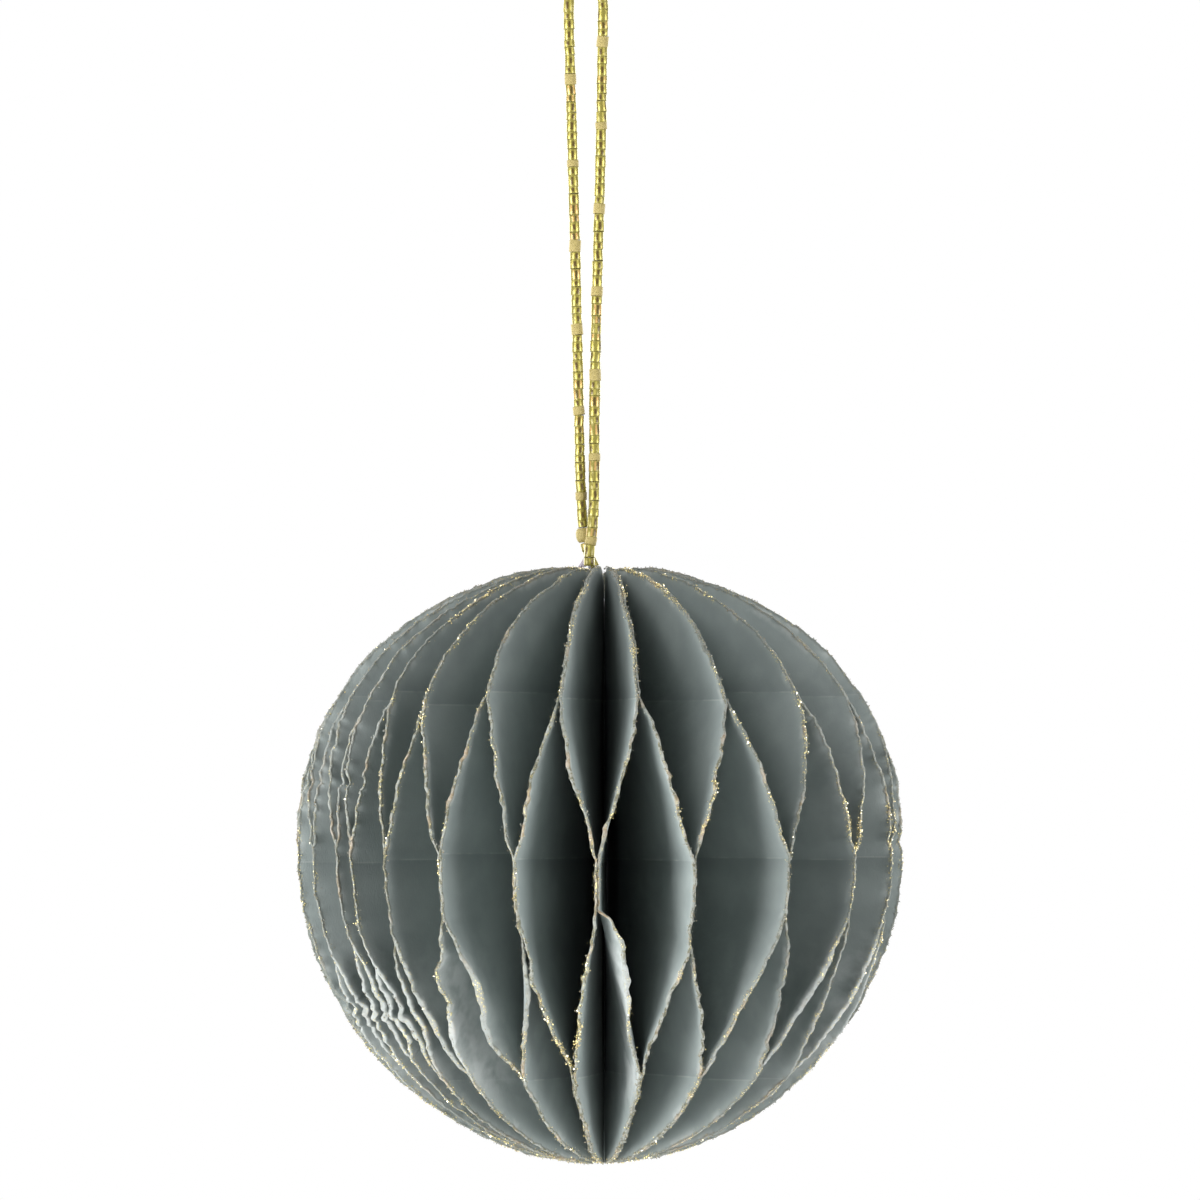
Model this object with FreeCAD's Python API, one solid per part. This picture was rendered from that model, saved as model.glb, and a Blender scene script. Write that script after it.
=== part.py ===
import FreeCAD, Part

import math
import os

# Paper ball hanging decoration: half-disc paper leaves, glued in level bands and opened right round
# into a ball, on a hanging loop of threaded glass beads.
#
# Millimetres, +Z up, origin at the centre of the ball on its upright axis. The front faces -Y.
# Angles are in degrees about +Z, from the front, positive towards +X.

# ---------------------------------------------------------------- paper ball
PAPER_THICKNESS = 0.35
BALL_RADIUS = 40.2
HEIGHT_ABOVE_WAIST = 37.4
HEIGHT_BELOW_WAIST = 41.4
FULLNESS_ABOVE = 2.2  # exponent of the outline: 2 is an ellipse, more is fuller
FULLNESS_BELOW = 1.93

# Glue bands, as heights over the ball's centre. A leaf is glued to one neighbour in the top and
# bottom bands and to its other neighbour in the middle band.
TOP_BAND_EDGE = 22.2
MIDDLE_BAND_TOP = 1.2
MIDDLE_BAND_BOTTOM = -5.0
BOTTOM_BAND_EDGE = -27.2

# Where the joints of each band stand at the rim. Top and bottom joint number k lies between middle
# joints k and k + 1. The ball is opened unevenly: its cells are squeezed on the left and wide open
# at the right and in front, and nearly even at the back.
MIDDLE_JOINTS = [-84.5, -69.0, -59.2, -53.9, -44.2, -31.3, -16.1, -0.6, 17.7, 37.6, 56.0, 73.3,
                 90.4, 109.6, 126.0, 145.3, 161.6, 180.2, 198.3, 219.0, 236.6, 255.9]
TOP_JOINTS = [-82.0, -70.0, -60.6, -51.5, -40.3, -24.5, -8.4, 8.1, 27.3, 47.9, 68.0, 83.5,
              100.4, 117.5, 136.0, 153.2, 171.3, 188.9, 208.9, 227.4, 246.0, 266.2]
BOTTOM_JOINTS = [-77.0, -65.0, -57.3, -49.6, -38.5, -21.8, -7.3, 10.4, 28.4, 48.5, 65.9, 82.6,
                 99.4, 118.4, 135.1, 153.9, 170.4, 189.8, 208.1, 228.3, 245.4, 265.2]

# Straight cuts that a leaf's torn rim is laid out with
TOP_BAND_CUTS = 8
OPEN_CUTS = 5
MIDDLE_BAND_CUTS = 2
BOTTOM_BAND_CUTS = 7

# ---------------------------------------------------------------- hanging loop
# Heights here are over the mouth of the spine, where the leaves' inner edges end at the top.
THREAD_DIAMETER = 0.35
BEAD_DIAMETER = 1.3
BEAD_HOLE = 0.5  # across the square hole
BEAD_GAP = 0.04
BEAD_LENGTHS = [1.35, 0.9, 1.5, 1.05, 0.85, 1.45, 1.2, 0.95, 1.55, 1.0, 1.3, 0.9, 1.4]
SHORT_BEAD_LENGTH = 0.85
SHORT_BEAD_TURN = 12.0  # thread that turns more than this from bead to bead takes short beads
FROSTED_EVERY = 9
LARGE_BEAD_DIAMETER = 2.2
LARGE_BEAD_LENGTH = 2.0
LARGE_BEAD_HOLE = 0.7
LARGE_BEAD_HEIGHT = 5.0
FIRST_BEAD_HEIGHT = 0.2

# The thread's route above the knot: up the left strand, over the top and down the right strand
THREAD_ROUTE = [
    (-0.10, 0.75, -2.40), (-0.45, 0.78, -0.30), (-1.26, 0.85, 1.40), (-1.92, 0.86, 3.10),
    (-2.22, 0.79, 5.30), (-2.44, 0.65, 8.40), (-2.62, 0.45, 13.20), (-2.84, 0.15, 22.20),
    (-3.12, 0.00, 35.60), (-3.62, 0.00, 54.60), (-3.98, 0.00, 67.00), (-4.14, 0.00, 73.00),
    (-4.16, 0.00, 76.05), (-2.84, 0.00, 77.40), (-0.92, 0.00, 77.40), (0.42, 0.00, 76.05),
    (0.40, 0.00, 73.00), (0.26, 0.00, 66.60), (0.10, 0.00, 54.60), (-0.46, 0.00, 35.60),
    (-0.74, -0.15, 21.20), (-0.72, -0.50, 12.40), (-0.80, -0.72, 7.40), (-1.16, -0.80, 4.00),
    (-1.52, -0.76, 1.20), (-1.20, -0.50, -1.60),
]
ARC_SHARE = 0.45  # of the shorter run, taken up by the arc at each point of the route

# ---------------------------------------------------------------- knot in the spine
KNOT_DEPTH = 4.4  # of its top below the mouth
KNOT_LENGTH = 4.0
KNOT_CHAMFER = 0.8
KNOT_CLEARANCE = 0.15
TAIL_FOOT = (-1.72, 0.42)  # the glued thread end that stands out beside the strands
TAIL_TIP = (-2.30, 0.30, 1.50)
TAIL_FOOT_RADIUS = 0.32
TAIL_TIP_RADIUS = 0.12

# ---------------------------------------------------------------- worked out from the sizes
LEAF_COUNT = 2 * len(MIDDLE_JOINTS)
LEAF_PITCH = 360.0 / LEAF_COUNT
# The leaves' inner edges stand side by side round the hollow spine
SPINE_RADIUS = PAPER_THICKNESS / (2 * math.sin(math.radians(LEAF_PITCH / 2)))
WAIST_HEIGHT = (HEIGHT_BELOW_WAIST - HEIGHT_ABOVE_WAIST) / 2
# The even ring of leaves at the spine is turned so that no leaf leans more than it must
SPINE_TURN = sum(MIDDLE_JOINTS) / len(MIDDLE_JOINTS) - LEAF_PITCH * (len(MIDDLE_JOINTS) - 1)


def outward(angle):
    """Level unit vector that points away from the axis at this angle."""
    return FreeCAD.Vector(math.sin(math.radians(angle)), -math.cos(math.radians(angle)), 0)


def along(angle):
    """Level unit vector at right angles to outward(angle), towards growing angles."""
    return FreeCAD.Vector(math.cos(math.radians(angle)), math.sin(math.radians(angle)), 0)


def angle_of(point):
    return math.degrees(math.atan2(point.x, -point.y))


def half_outline(height):
    """Reach from the waist and fullness of the half of the ball that this height is in."""
    if height >= WAIST_HEIGHT:
        return HEIGHT_ABOVE_WAIST, FULLNESS_ABOVE
    return HEIGHT_BELOW_WAIST, FULLNESS_BELOW


def radius_at(height):
    """Radius of the ball's outline at a height."""
    reach, fullness = half_outline(height)
    share = min(abs(height - WAIST_HEIGHT) / reach, 1.0)
    return BALL_RADIUS * (1 - share**fullness) ** (1 / fullness)


def end_height(side):
    """Height where the outline meets the hollow spine: side 1 is the top, -1 the bottom."""
    reach, fullness = half_outline(WAIST_HEIGHT + side)
    share = (1 - (SPINE_RADIUS / BALL_RADIUS) ** fullness) ** (1 / fullness)
    return WAIST_HEIGHT + side * reach * share


def heights_round_outline(low, high, cuts):
    """Heights from low to high in one half of the ball, evenly spaced round its outline."""
    reach, fullness = half_outline((low + high) / 2)
    side = 1 if low + high > 2 * WAIST_HEIGHT else -1
    turns = [math.asin((abs(h - WAIST_HEIGHT) / reach) ** (fullness / 2)) for h in (low, high)]
    steps = [turns[0] + (turns[1] - turns[0]) * i / cuts for i in range(1, cuts)]
    inner = [WAIST_HEIGHT + side * reach * math.sin(t) ** (2 / fullness) for t in steps]
    return [low] + inner + [high]


def heights_evenly(low, high, cuts):
    return [low + (high - low) * i / cuts for i in range(cuts + 1)]


def leaf_rows():
    """The leaf's five zones from the bottom up, each as (is a glued band, heights)."""
    return [
        (True, heights_round_outline(end_height(-1), BOTTOM_BAND_EDGE, BOTTOM_BAND_CUTS)),
        (False, heights_evenly(BOTTOM_BAND_EDGE, MIDDLE_BAND_BOTTOM, OPEN_CUTS)),
        (True, heights_evenly(MIDDLE_BAND_BOTTOM, MIDDLE_BAND_TOP, MIDDLE_BAND_CUTS)),
        (False, heights_evenly(MIDDLE_BAND_TOP, TOP_BAND_EDGE, OPEN_CUTS)),
        (True, heights_round_outline(TOP_BAND_EDGE, end_height(1), TOP_BAND_CUTS)),
    ]


def middle_share(height):
    """0 where a leaf is glued in the top or bottom band, 1 in the middle band, between them in
    proportion, because the paper runs straight from one band to the next."""
    if height > MIDDLE_BAND_TOP:
        share = (TOP_BAND_EDGE - height) / (TOP_BAND_EDGE - MIDDLE_BAND_TOP)
    elif height < MIDDLE_BAND_BOTTOM:
        share = (height - BOTTOM_BAND_EDGE) / (MIDDLE_BAND_BOTTOM - BOTTOM_BAND_EDGE)
    else:
        return 1.0
    return max(share, 0.0)


# ---------------------------------------------------------------- leaves
def middle_joint(index):
    """(angle at the rim, angle at the spine) of a joint in the middle band."""
    count = len(MIDDLE_JOINTS)
    turn = 360.0 * (index // count)
    return MIDDLE_JOINTS[index % count] + turn, SPINE_TURN + 2 * LEAF_PITCH * index


def outer_joint(joints, index):
    """The same for a joint of the top or bottom band, whose angles at the rim are joints."""
    return joints[index], middle_joint(index)[1] + LEAF_PITCH


def face_line(joint, side):
    """Level line from spine to rim of a leaf face at a joint: side 0 is the glued face itself,
    1 and -1 the far face of the leaf that lies beyond it or before it."""
    rim_angle, spine_angle = joint
    spine = outward(spine_angle + side * LEAF_PITCH) * SPINE_RADIUS
    rim = outward(rim_angle) * BALL_RADIUS + along(rim_angle) * (side * PAPER_THICKNESS)
    return spine, rim


def on_line(line, radius):
    """The point of a face line that lies at this distance from the axis."""
    start, way = line[0], line[1] - line[0]
    a, b, c = way.dot(way), start.dot(way), start.dot(start) - radius**2
    return start + way * ((-b + math.sqrt(max(b * b - a * c, 0.0))) / a)


def rim_point(face, height):
    """Point of a leaf face on the ball's outline. A face is its lines in the three bands."""
    top, middle, bottom = face
    radius, share = max(radius_at(height), SPINE_RADIUS), middle_share(height)
    outer = on_line(top if height > MIDDLE_BAND_TOP else bottom, radius)
    middle = on_line(middle, radius)
    if share == 0.0:
        point = outer
    elif share == 1.0:
        point = middle
    else:
        swing = (angle_of(middle) - angle_of(outer) + 180) % 360 - 180
        point = outward(angle_of(outer) + share * swing) * radius
    return FreeCAD.Vector(point.x, point.y, height)


def spine_point(face, height):
    return FreeCAD.Vector(face[0][0].x, face[0][0].y, height)


def polygon(points):
    return Part.Face(Part.makePolygon(points + [points[0]]))


def side_faces(face, rows):
    """One side of a leaf: a flat face for each glued band and folded strips between them."""
    faces = []
    for glued, heights in rows:
        rim = [rim_point(face, h) for h in heights]
        spine = [spine_point(face, h) for h in heights]
        ends_low = (rim[0] - spine[0]).Length < 1e-6
        ends_high = (rim[-1] - spine[-1]).Length < 1e-6
        if glued:
            outline = rim + spine[::-1]
            if ends_high:
                outline.pop(len(rim))
            if ends_low:
                outline.pop()
            faces.append(polygon(outline))
            continue
        for i in range(len(heights) - 1):
            faces.append(polygon([spine[i], rim[i], rim[i + 1]]))
            faces.append(polygon([spine[i], rim[i + 1], spine[i + 1]]))
    return faces


def leaf_solid(left, right):
    """A leaf between its left and right face, closed by its rim and its inner edge."""
    rows = leaf_rows()
    heights = [rows[0][1][0]] + [h for _, zone in rows for h in zone[1:]]
    faces = side_faces(left, rows) + side_faces(right, rows)
    for low, high in zip(heights[:-1], heights[1:]):
        a, b = rim_point(left, low), rim_point(right, low)
        c, d = rim_point(right, high), rim_point(left, high)
        faces += [polygon([a, b, c]), polygon([a, c, d])]
    inner = [spine_point(left, h) for h in heights] + [spine_point(right, h) for h in reversed(heights)]
    faces.append(polygon(inner))
    return Part.Solid(Part.Shell(faces))


def leaves():
    """All leaves in order round the ball, two to each top joint."""
    solids = []
    for k in range(len(MIDDLE_JOINTS)):
        before, after = middle_joint(k), middle_joint(k + 1)
        top, bottom = outer_joint(TOP_JOINTS, k), outer_joint(BOTTOM_JOINTS, k)
        for outer_side, joint, middle_side in ((-1, before, 0), (0, after, -1)):
            left, right = [
                (face_line(top, outer_side + i), face_line(joint, middle_side + i),
                 face_line(bottom, outer_side + i)) for i in (0, 1)
            ]
            solids.append(leaf_solid(left, right))
    return solids


# ---------------------------------------------------------------- thread and beads
def rounded_path(points):
    """Straight runs joined by tangent arcs along a list of points, with the arcs' radii."""
    edges, radii, start = [], [], points[0]
    for before, corner, after in zip(points[:-2], points[1:-1], points[2:]):
        way_in, way_out = (corner - before).normalize(), (after - corner).normalize()
        setback = ARC_SHARE * min((corner - before).Length, (after - corner).Length)
        half_turn = way_in.getAngle(way_out) / 2
        radius = setback / math.tan(half_turn)
        inward = (way_out - way_in).normalize()
        middle = corner + inward * (radius / math.cos(half_turn) - radius)
        arc_start, arc_end = corner - way_in * setback, corner + way_out * setback
        edges.append(Part.LineSegment(start, arc_start).toShape())
        edges.append(Part.Arc(arc_start, middle, arc_end).toShape())
        radii.append(radius)
        start = arc_end
    edges.append(Part.LineSegment(start, points[-1]).toShape())
    return Part.Wire(edges), radii


def tube(path, diameter):
    first = path.Edges[0]
    start, way = first.valueAt(first.FirstParameter), first.tangentAt(first.FirstParameter)
    ring = Part.Wire([Part.makeCircle(diameter / 2, start, way)])
    return path.makePipeShell([ring], True, True)


def station(path, distance):
    """Point and direction of the path at a distance along it."""
    for edge in path.Edges:
        if distance <= edge.Length:
            break
        distance -= edge.Length
    parameter = edge.getParameterByLength(min(distance, edge.Length))
    return edge.valueAt(parameter), edge.tangentAt(parameter)


def thread_path():
    """The thread's whole route, which starts and ends upright on the knot's top."""
    mouth = end_height(1)
    points = [FreeCAD.Vector(x, y, mouth + z) for x, y, z in THREAD_ROUTE]
    ends = [FreeCAD.Vector(p.x, p.y, mouth - KNOT_DEPTH) for p in (points[0], points[-1])]
    return rounded_path([ends[0]] + points + [ends[1]])


def distance_at_height(path, height, from_end):
    """How far along the path a strand first rises past a height over the mouth, from either end."""
    step = THREAD_DIAMETER / 2
    for i in range(int(path.Length / step)):
        distance = path.Length - i * step if from_end else i * step
        if station(path, distance)[0].z >= end_height(1) + height:
            break
    return distance


def bead(length):
    """A drawn glass bead, upright, with its square hole."""
    half = BEAD_HOLE / 2
    corners = [(-half, -half), (half, -half), (half, half), (-half, half)]
    hole = Part.makePolygon([FreeCAD.Vector(x, y, 0) for x, y in corners + corners[:1]])
    wall = Part.Face(Part.Wire([Part.makeCircle(BEAD_DIAMETER / 2)]))
    section = wall.cut(Part.Face(hole)).Faces[0]
    section.translate(FreeCAD.Vector(0, 0, -length / 2))
    return section.extrude(FreeCAD.Vector(0, 0, length))


def large_bead():
    """The large barrel bead, upright, with a round hole."""
    ball = Part.makeSphere(LARGE_BEAD_DIAMETER / 2)
    low = FreeCAD.Vector(0, 0, -LARGE_BEAD_LENGTH / 2)
    barrel = ball.common(Part.makeCylinder(LARGE_BEAD_DIAMETER, LARGE_BEAD_LENGTH, low))
    return barrel.cut(Part.makeCylinder(LARGE_BEAD_HOLE / 2, LARGE_BEAD_LENGTH, low))


def threaded(shape, path, distance):
    """A bead put on the thread at a distance along the path."""
    point, way = station(path, distance)
    turn = FreeCAD.Rotation(FreeCAD.Vector(0, 0, 1), way)
    shape.Placement = FreeCAD.Placement(point, turn)
    return shape


def bead_places(path):
    """(kind, length, distance along the path) of each bead from the first strand to the last."""
    distance = distance_at_height(path, FIRST_BEAD_HEIGHT, False)
    last = distance_at_height(path, FIRST_BEAD_HEIGHT, True)
    large_at = distance_at_height(path, LARGE_BEAD_HEIGHT, False)
    places, way_before, count = [], None, 0
    while True:
        kind, length = "gold", BEAD_LENGTHS[count % len(BEAD_LENGTHS)]
        if large_at is not None and distance + length > large_at - LARGE_BEAD_LENGTH / 2:
            kind, length, large_at = "large", LARGE_BEAD_LENGTH, None
        elif count % FROSTED_EVERY == FROSTED_EVERY - 2:
            kind = "frosted"
        turn = 0.0
        if way_before is not None:
            way_after = station(path, distance + length)[1]
            turn = math.degrees(way_before.getAngle(way_after))
            if turn > SHORT_BEAD_TURN and kind != "large":
                kind, length = "gold", SHORT_BEAD_LENGTH
                way_after = station(path, distance + length)[1]
                turn = math.degrees(way_before.getAngle(way_after))
        room = BEAD_DIAMETER * math.tan(math.radians(turn) / 2)
        distance += BEAD_GAP + room
        if distance + length > last:
            return places
        places.append((kind, length, distance + length / 2))
        distance += length
        way_before = station(path, distance - length / 2)[1]
        count += 1


def strung_beads(path):
    """The beads of each kind on the thread."""
    beads = {"gold": [], "frosted": [], "large": []}
    for kind, length, distance in bead_places(path):
        shape = large_bead() if kind == "large" else bead(length)
        beads[kind].append(threaded(shape, path, distance))
    return beads


# ---------------------------------------------------------------- knot
def knot():
    """The knot in the hollow spine, with the glued thread end that stands out beside the strands."""
    radius = SPINE_RADIUS * math.cos(math.radians(LEAF_PITCH / 2)) - KNOT_CLEARANCE
    mouth, low = end_height(1), end_height(1) - KNOT_DEPTH - KNOT_LENGTH
    side = Part.makeCylinder(radius, KNOT_LENGTH - KNOT_CHAMFER, FreeCAD.Vector(0, 0, low + KNOT_CHAMFER))
    end = Part.makeCone(radius - KNOT_CHAMFER, radius, KNOT_CHAMFER, FreeCAD.Vector(0, 0, low))
    body = side.fuse(end).removeSplitter()
    foot = FreeCAD.Vector(TAIL_FOOT[0], TAIL_FOOT[1], low + KNOT_LENGTH / 2)
    way = FreeCAD.Vector(TAIL_TIP[0], TAIL_TIP[1], mouth + TAIL_TIP[2]) - foot
    tail = Part.makeCone(TAIL_FOOT_RADIUS, TAIL_TIP_RADIUS, way.Length, foot, way)
    return body.fuse(tail)


def build():
    """Every node of the part by name."""
    nodes = {f"leaf_{i + 1:02d}": solid for i, solid in enumerate(leaves())}
    path, radii = thread_path()
    thread = tube(path, THREAD_DIAMETER)
    print("thread length", round(path.Length, 2), "radii", [round(r, 1) for r in radii])
    section = math.pi * THREAD_DIAMETER**2 / 4
    print("thread volume over section times length", round(thread.Volume / (section * path.Length), 4))
    beads = strung_beads(path)
    nodes["loop_thread"] = thread
    nodes["gold_beads"] = Part.makeCompound(beads["gold"])
    nodes["frosted_beads"] = Part.makeCompound(beads["frosted"])
    nodes["large_bead"] = beads["large"][0]
    nodes["loop_knot"] = knot()
    print("beads", {kind: len(shapes) for kind, shapes in beads.items()})
    return nodes


def main():
    os.makedirs("parts", exist_ok=True)
    for name, shape in build().items():
        if not shape.isValid():
            print("not valid:", name)
        shape.exportStep(f"parts/{name}.step")


main()
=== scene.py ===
"""Look of the paper ball hanging decoration.

Half-disc leaves of thick handmade paper with torn, gold-dusted edges are glued in level bands and
opened round into a ball, which hangs from a loop of threaded gold-lined glass beads.
"""

import logging
import math
import random
from dataclasses import dataclass, field
from enum import Enum

import bmesh
import bpy
import numpy as np
from mathutils import Matrix, Quaternion, Vector, noise


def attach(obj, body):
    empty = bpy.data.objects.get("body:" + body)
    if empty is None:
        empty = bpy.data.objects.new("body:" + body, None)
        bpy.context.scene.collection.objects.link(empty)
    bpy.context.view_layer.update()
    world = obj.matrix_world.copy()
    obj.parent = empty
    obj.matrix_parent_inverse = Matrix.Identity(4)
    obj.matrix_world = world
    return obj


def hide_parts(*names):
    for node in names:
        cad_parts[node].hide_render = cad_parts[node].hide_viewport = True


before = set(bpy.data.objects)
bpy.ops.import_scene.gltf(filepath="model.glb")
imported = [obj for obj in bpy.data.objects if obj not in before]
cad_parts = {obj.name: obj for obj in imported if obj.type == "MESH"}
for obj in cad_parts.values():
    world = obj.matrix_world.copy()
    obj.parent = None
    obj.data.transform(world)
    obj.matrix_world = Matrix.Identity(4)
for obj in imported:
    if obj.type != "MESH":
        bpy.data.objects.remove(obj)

MM = 0.001
MERGE = 1e-5
UP = Vector((0, 0, 1))
LOG = logging.getLogger("paper_ball")
Triple = tuple[float, float, float]
Colour = tuple[float, float, float, float]
Socket = bpy.types.NodeSocket


# ------------------------------------------------------------------------------ small helpers
class BeadKind(Enum):
    """The kinds of bead on the loop."""

    GOLD = "gold"
    FROSTED = "frosted"
    LARGE = "large"


def outward(angle: np.ndarray) -> np.ndarray:
    """Level unit vectors away from the axis.

    Args:
        angle: Angles in degrees, 0 at the front and growing towards +X.

    Returns:
        An array of shape (..., 2) with x and y.
    """
    turn = np.radians(angle)
    return np.stack([np.sin(turn), -np.cos(turn)], axis=-1)


def along(angle: np.ndarray) -> np.ndarray:
    """Level unit vectors at right angles to outward().

    Args:
        angle: Angles in degrees.

    Returns:
        An array of shape (..., 2) that points towards growing angles.
    """
    turn = np.radians(angle)
    return np.stack([np.cos(turn), np.sin(turn)], axis=-1)


def ripple(places: np.ndarray, wavelength: float, key: float) -> np.ndarray:
    """Smooth random values along a line.

    Args:
        places: Distances along the line.
        wavelength: Distance over which the values change, in the same unit.
        key: Number that tells one line from another.

    Returns:
        Values from about -1 to 1, one for each place.
    """
    lane = (key * 7.31 + 0.37, key * 1.93)
    return np.array([1.6 * noise.noise(Vector((place / wavelength, *lane))) for place in places])


def ease(share: np.ndarray) -> np.ndarray:
    """Clamps shares to 0..1 and eases both ends."""
    t = np.clip(share, 0.0, 1.0)
    return t * t * (3 - 2 * t)


def hump(heights: np.ndarray, spot: float, spread: float) -> np.ndarray:
    """A rounded bump that is 1 high at its spot and fades over its spread."""
    return np.exp(-((heights - spot) / spread) ** 2)


def link_object(name: str, data: bpy.types.ID) -> bpy.types.Object:
    """Makes an object and links it to the scene.

    Args:
        name: Name of the object.
        data: Its mesh, curve, lamp or camera.

    Returns:
        The new object.
    """
    made = bpy.data.objects.new(name, data)
    bpy.context.scene.collection.objects.link(made)
    return made


def make_piece(name: str, mesh: bpy.types.Mesh, materials: list[bpy.types.Material]) -> bpy.types.Object:
    """Links a mesh to the scene as a piece that rides on the part.

    Args:
        name: Name of the piece.
        mesh: Its mesh, in place.
        materials: Its materials, in slot order.

    Returns:
        The new object.
    """
    for material in materials:
        mesh.materials.append(material)
    piece = link_object(name, mesh)
    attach(piece, "root")
    LOG.info("%s: %d faces", name, len(mesh.polygons))
    return piece


def mesh_from(bm: bmesh.types.BMesh, name: str, smooth: bool = True) -> bpy.types.Mesh:
    """Writes a bmesh to a new mesh and frees it.

    Args:
        bm: The finished bmesh.
        name: Name of the mesh.
        smooth: Whether its faces are shaded smooth.

    Returns:
        The new mesh.
    """
    for face in bm.faces:
        face.smooth = smooth
    mesh = bpy.data.meshes.new(name)
    bm.to_mesh(mesh)
    bm.free()
    return mesh


def paint(mesh: bpy.types.Mesh, name: str, values: np.ndarray) -> None:
    """Writes a number or a vector for each vertex of a mesh, which its finish reads.

    Args:
        mesh: The mesh.
        name: Name of the new attribute.
        values: Its values, of shape (vertices,) or (vertices, 3).
    """
    kind, key = ("FLOAT", "value") if values.ndim == 1 else ("FLOAT_VECTOR", "vector")
    attribute = mesh.attributes.new(name, kind, "POINT")
    attribute.data.foreach_set(key, values.astype(np.float32).ravel())


# ------------------------------------------------------------------------------ node helpers
class NodeWork:
    """Adds nodes to one tree and joins them."""

    def __init__(self, tree: bpy.types.NodeTree) -> None:
        """Takes the tree that gets the nodes."""
        self.tree = tree

    def feed(self, socket: Socket, value: object) -> None:
        """Links an input to the socket that feeds it, or sets its value.

        Args:
            socket: The input.
            value: A value, or the output socket that feeds it.
        """
        if isinstance(value, Socket):
            self.tree.links.new(value, socket)
        else:
            socket.default_value = value

    def add(self, kind: str, inputs: dict | None = None, **settings: object) -> bpy.types.Node:
        """Adds a node.

        Args:
            kind: The node's type, without ShaderNode before it.
            inputs: Socket name or index to a value, or to the output socket that feeds it.
            **settings: Properties of the node.

        Returns:
            The new node.
        """
        node = self.tree.nodes.new("ShaderNode" + kind)
        for key, value in settings.items():
            setattr(node, key, value)
        for key, value in (inputs or {}).items():
            self.feed(node.inputs[key], value)
        return node

    def coords(self) -> Socket:
        """The piece's own coordinates."""
        return self.add("TexCoord").outputs["Object"]

    def attribute(self, name: str, output: str = "Fac") -> Socket:
        """A value that is painted on the mesh."""
        return self.add("Attribute", attribute_name=name).outputs[output]

    def mottle(self, place: Socket, scale: object, **more: float) -> Socket:
        """Adds soft noise.

        Args:
            place: The coordinates.
            scale: How fine it is, a number or a socket.
            **more: Other inputs of the noise, such as Detail.

        Returns:
            The noise's values.
        """
        return self.add("TexNoise", {"Vector": place, "Scale": scale, **more}).outputs[0]

    def blend(self, share: object, first: object, second: object) -> Socket:
        """Mixes two colours.

        Args:
            share: Share of the second colour, a number or a socket, clamped to 0..1.
            first: Colour or socket at share 0.
            second: Colour or socket at share 1.

        Returns:
            The mixed colour's socket.
        """
        return self.add("Mix", {0: share, 6: first, 7: second}, data_type="RGBA").outputs[2]

    def ramp(self, value: Socket, low: object, high: object, to_low: float = 0.0,
             to_high: float = 1.0) -> Socket:
        """Maps a range of values to another, clamped and eased.

        Args:
            value: The socket to map.
            low: Value or socket that becomes to_low.
            high: Value or socket that becomes to_high.
            to_low: Result at low.
            to_high: Result at high.

        Returns:
            The result's socket.
        """
        return self.add("MapRange", {0: value, 1: low, 2: high, 3: to_low, 4: to_high},
                        interpolation_type="SMOOTHSTEP").outputs[0]

    def calc(self, operation: str, first: object, second: object = 0.0) -> Socket:
        """Adds a Math node.

        Args:
            operation: Its operation.
            first: First value or socket.
            second: Second value or socket.

        Returns:
            The result's socket.
        """
        return self.add("Math", {0: first, 1: second}, operation=operation).outputs[0]

    def times(self, first: object, second: object) -> Socket:
        """Multiplies two values."""
        return self.calc("MULTIPLY", first, second)

    def plus(self, first: object, second: object) -> Socket:
        """Adds two values."""
        return self.calc("ADD", first, second)

    def minus(self, first: object, second: object) -> Socket:
        """Takes the second value from the first."""
        return self.calc("SUBTRACT", first, second)

    def most(self, first: object, second: object) -> Socket:
        """The larger of two values."""
        return self.calc("MAXIMUM", first, second)

    def size(self, value: object) -> Socket:
        """A value without its sign."""
        return self.calc("ABSOLUTE", value)


class GroupWork(NodeWork):
    """Nodes of a shader node group whose sockets are all floats."""

    def __init__(self, name: str, inputs: dict[str, float], outputs: list[str]) -> None:
        """Starts the group.

        Args:
            name: Name of the group.
            inputs: Input names and their defaults.
            outputs: Output names.
        """
        super().__init__(bpy.data.node_groups.new(name, "ShaderNodeTree"))
        sockets = self.tree.interface
        for label, default in inputs.items():
            socket = sockets.new_socket(name=label, in_out="INPUT", socket_type="NodeSocketFloat")
            socket.default_value = default
        for label in outputs:
            sockets.new_socket(name=label, in_out="OUTPUT", socket_type="NodeSocketFloat")
        self.source = self.tree.nodes.new("NodeGroupInput").outputs
        self.result = self.tree.nodes.new("NodeGroupOutput").inputs


class MaterialWork(NodeWork):
    """Nodes of a material round its Principled BSDF."""

    def __init__(self, name: str) -> None:
        """Starts a material with this name."""
        self.material = bpy.data.materials.new(name)
        self.material.use_nodes = True
        super().__init__(self.material.node_tree)

    def place(self, group: bpy.types.NodeTree, **inputs: float) -> bpy.types.bpy_prop_collection:
        """Places a shared node group with this material's own values.

        Args:
            group: The group.
            **inputs: Its inputs.

        Returns:
            The group's outputs.
        """
        return self.add("Group", inputs, node_tree=group).outputs

    def bump(self, strength: float, distance: float, height: Socket) -> Socket:
        """Raises the surface by a height.

        Args:
            strength: Strength of the bump.
            distance: Its depth in metres.
            height: The heights' socket.

        Returns:
            The normal's socket.
        """
        return self.add("Bump", {"Strength": strength, "Distance": distance, "Height": height}).outputs[0]

    def dress(self, inputs: dict[str, object]) -> bpy.types.Material:
        """Sets or feeds the inputs of the Principled BSDF.

        Args:
            inputs: Input name to a value, or to the output socket that feeds it.

        Returns:
            The finished material.
        """
        shader = self.tree.nodes["Principled BSDF"]
        for key, value in inputs.items():
            self.feed(shader.inputs[key], value)
        return self.material


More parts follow.
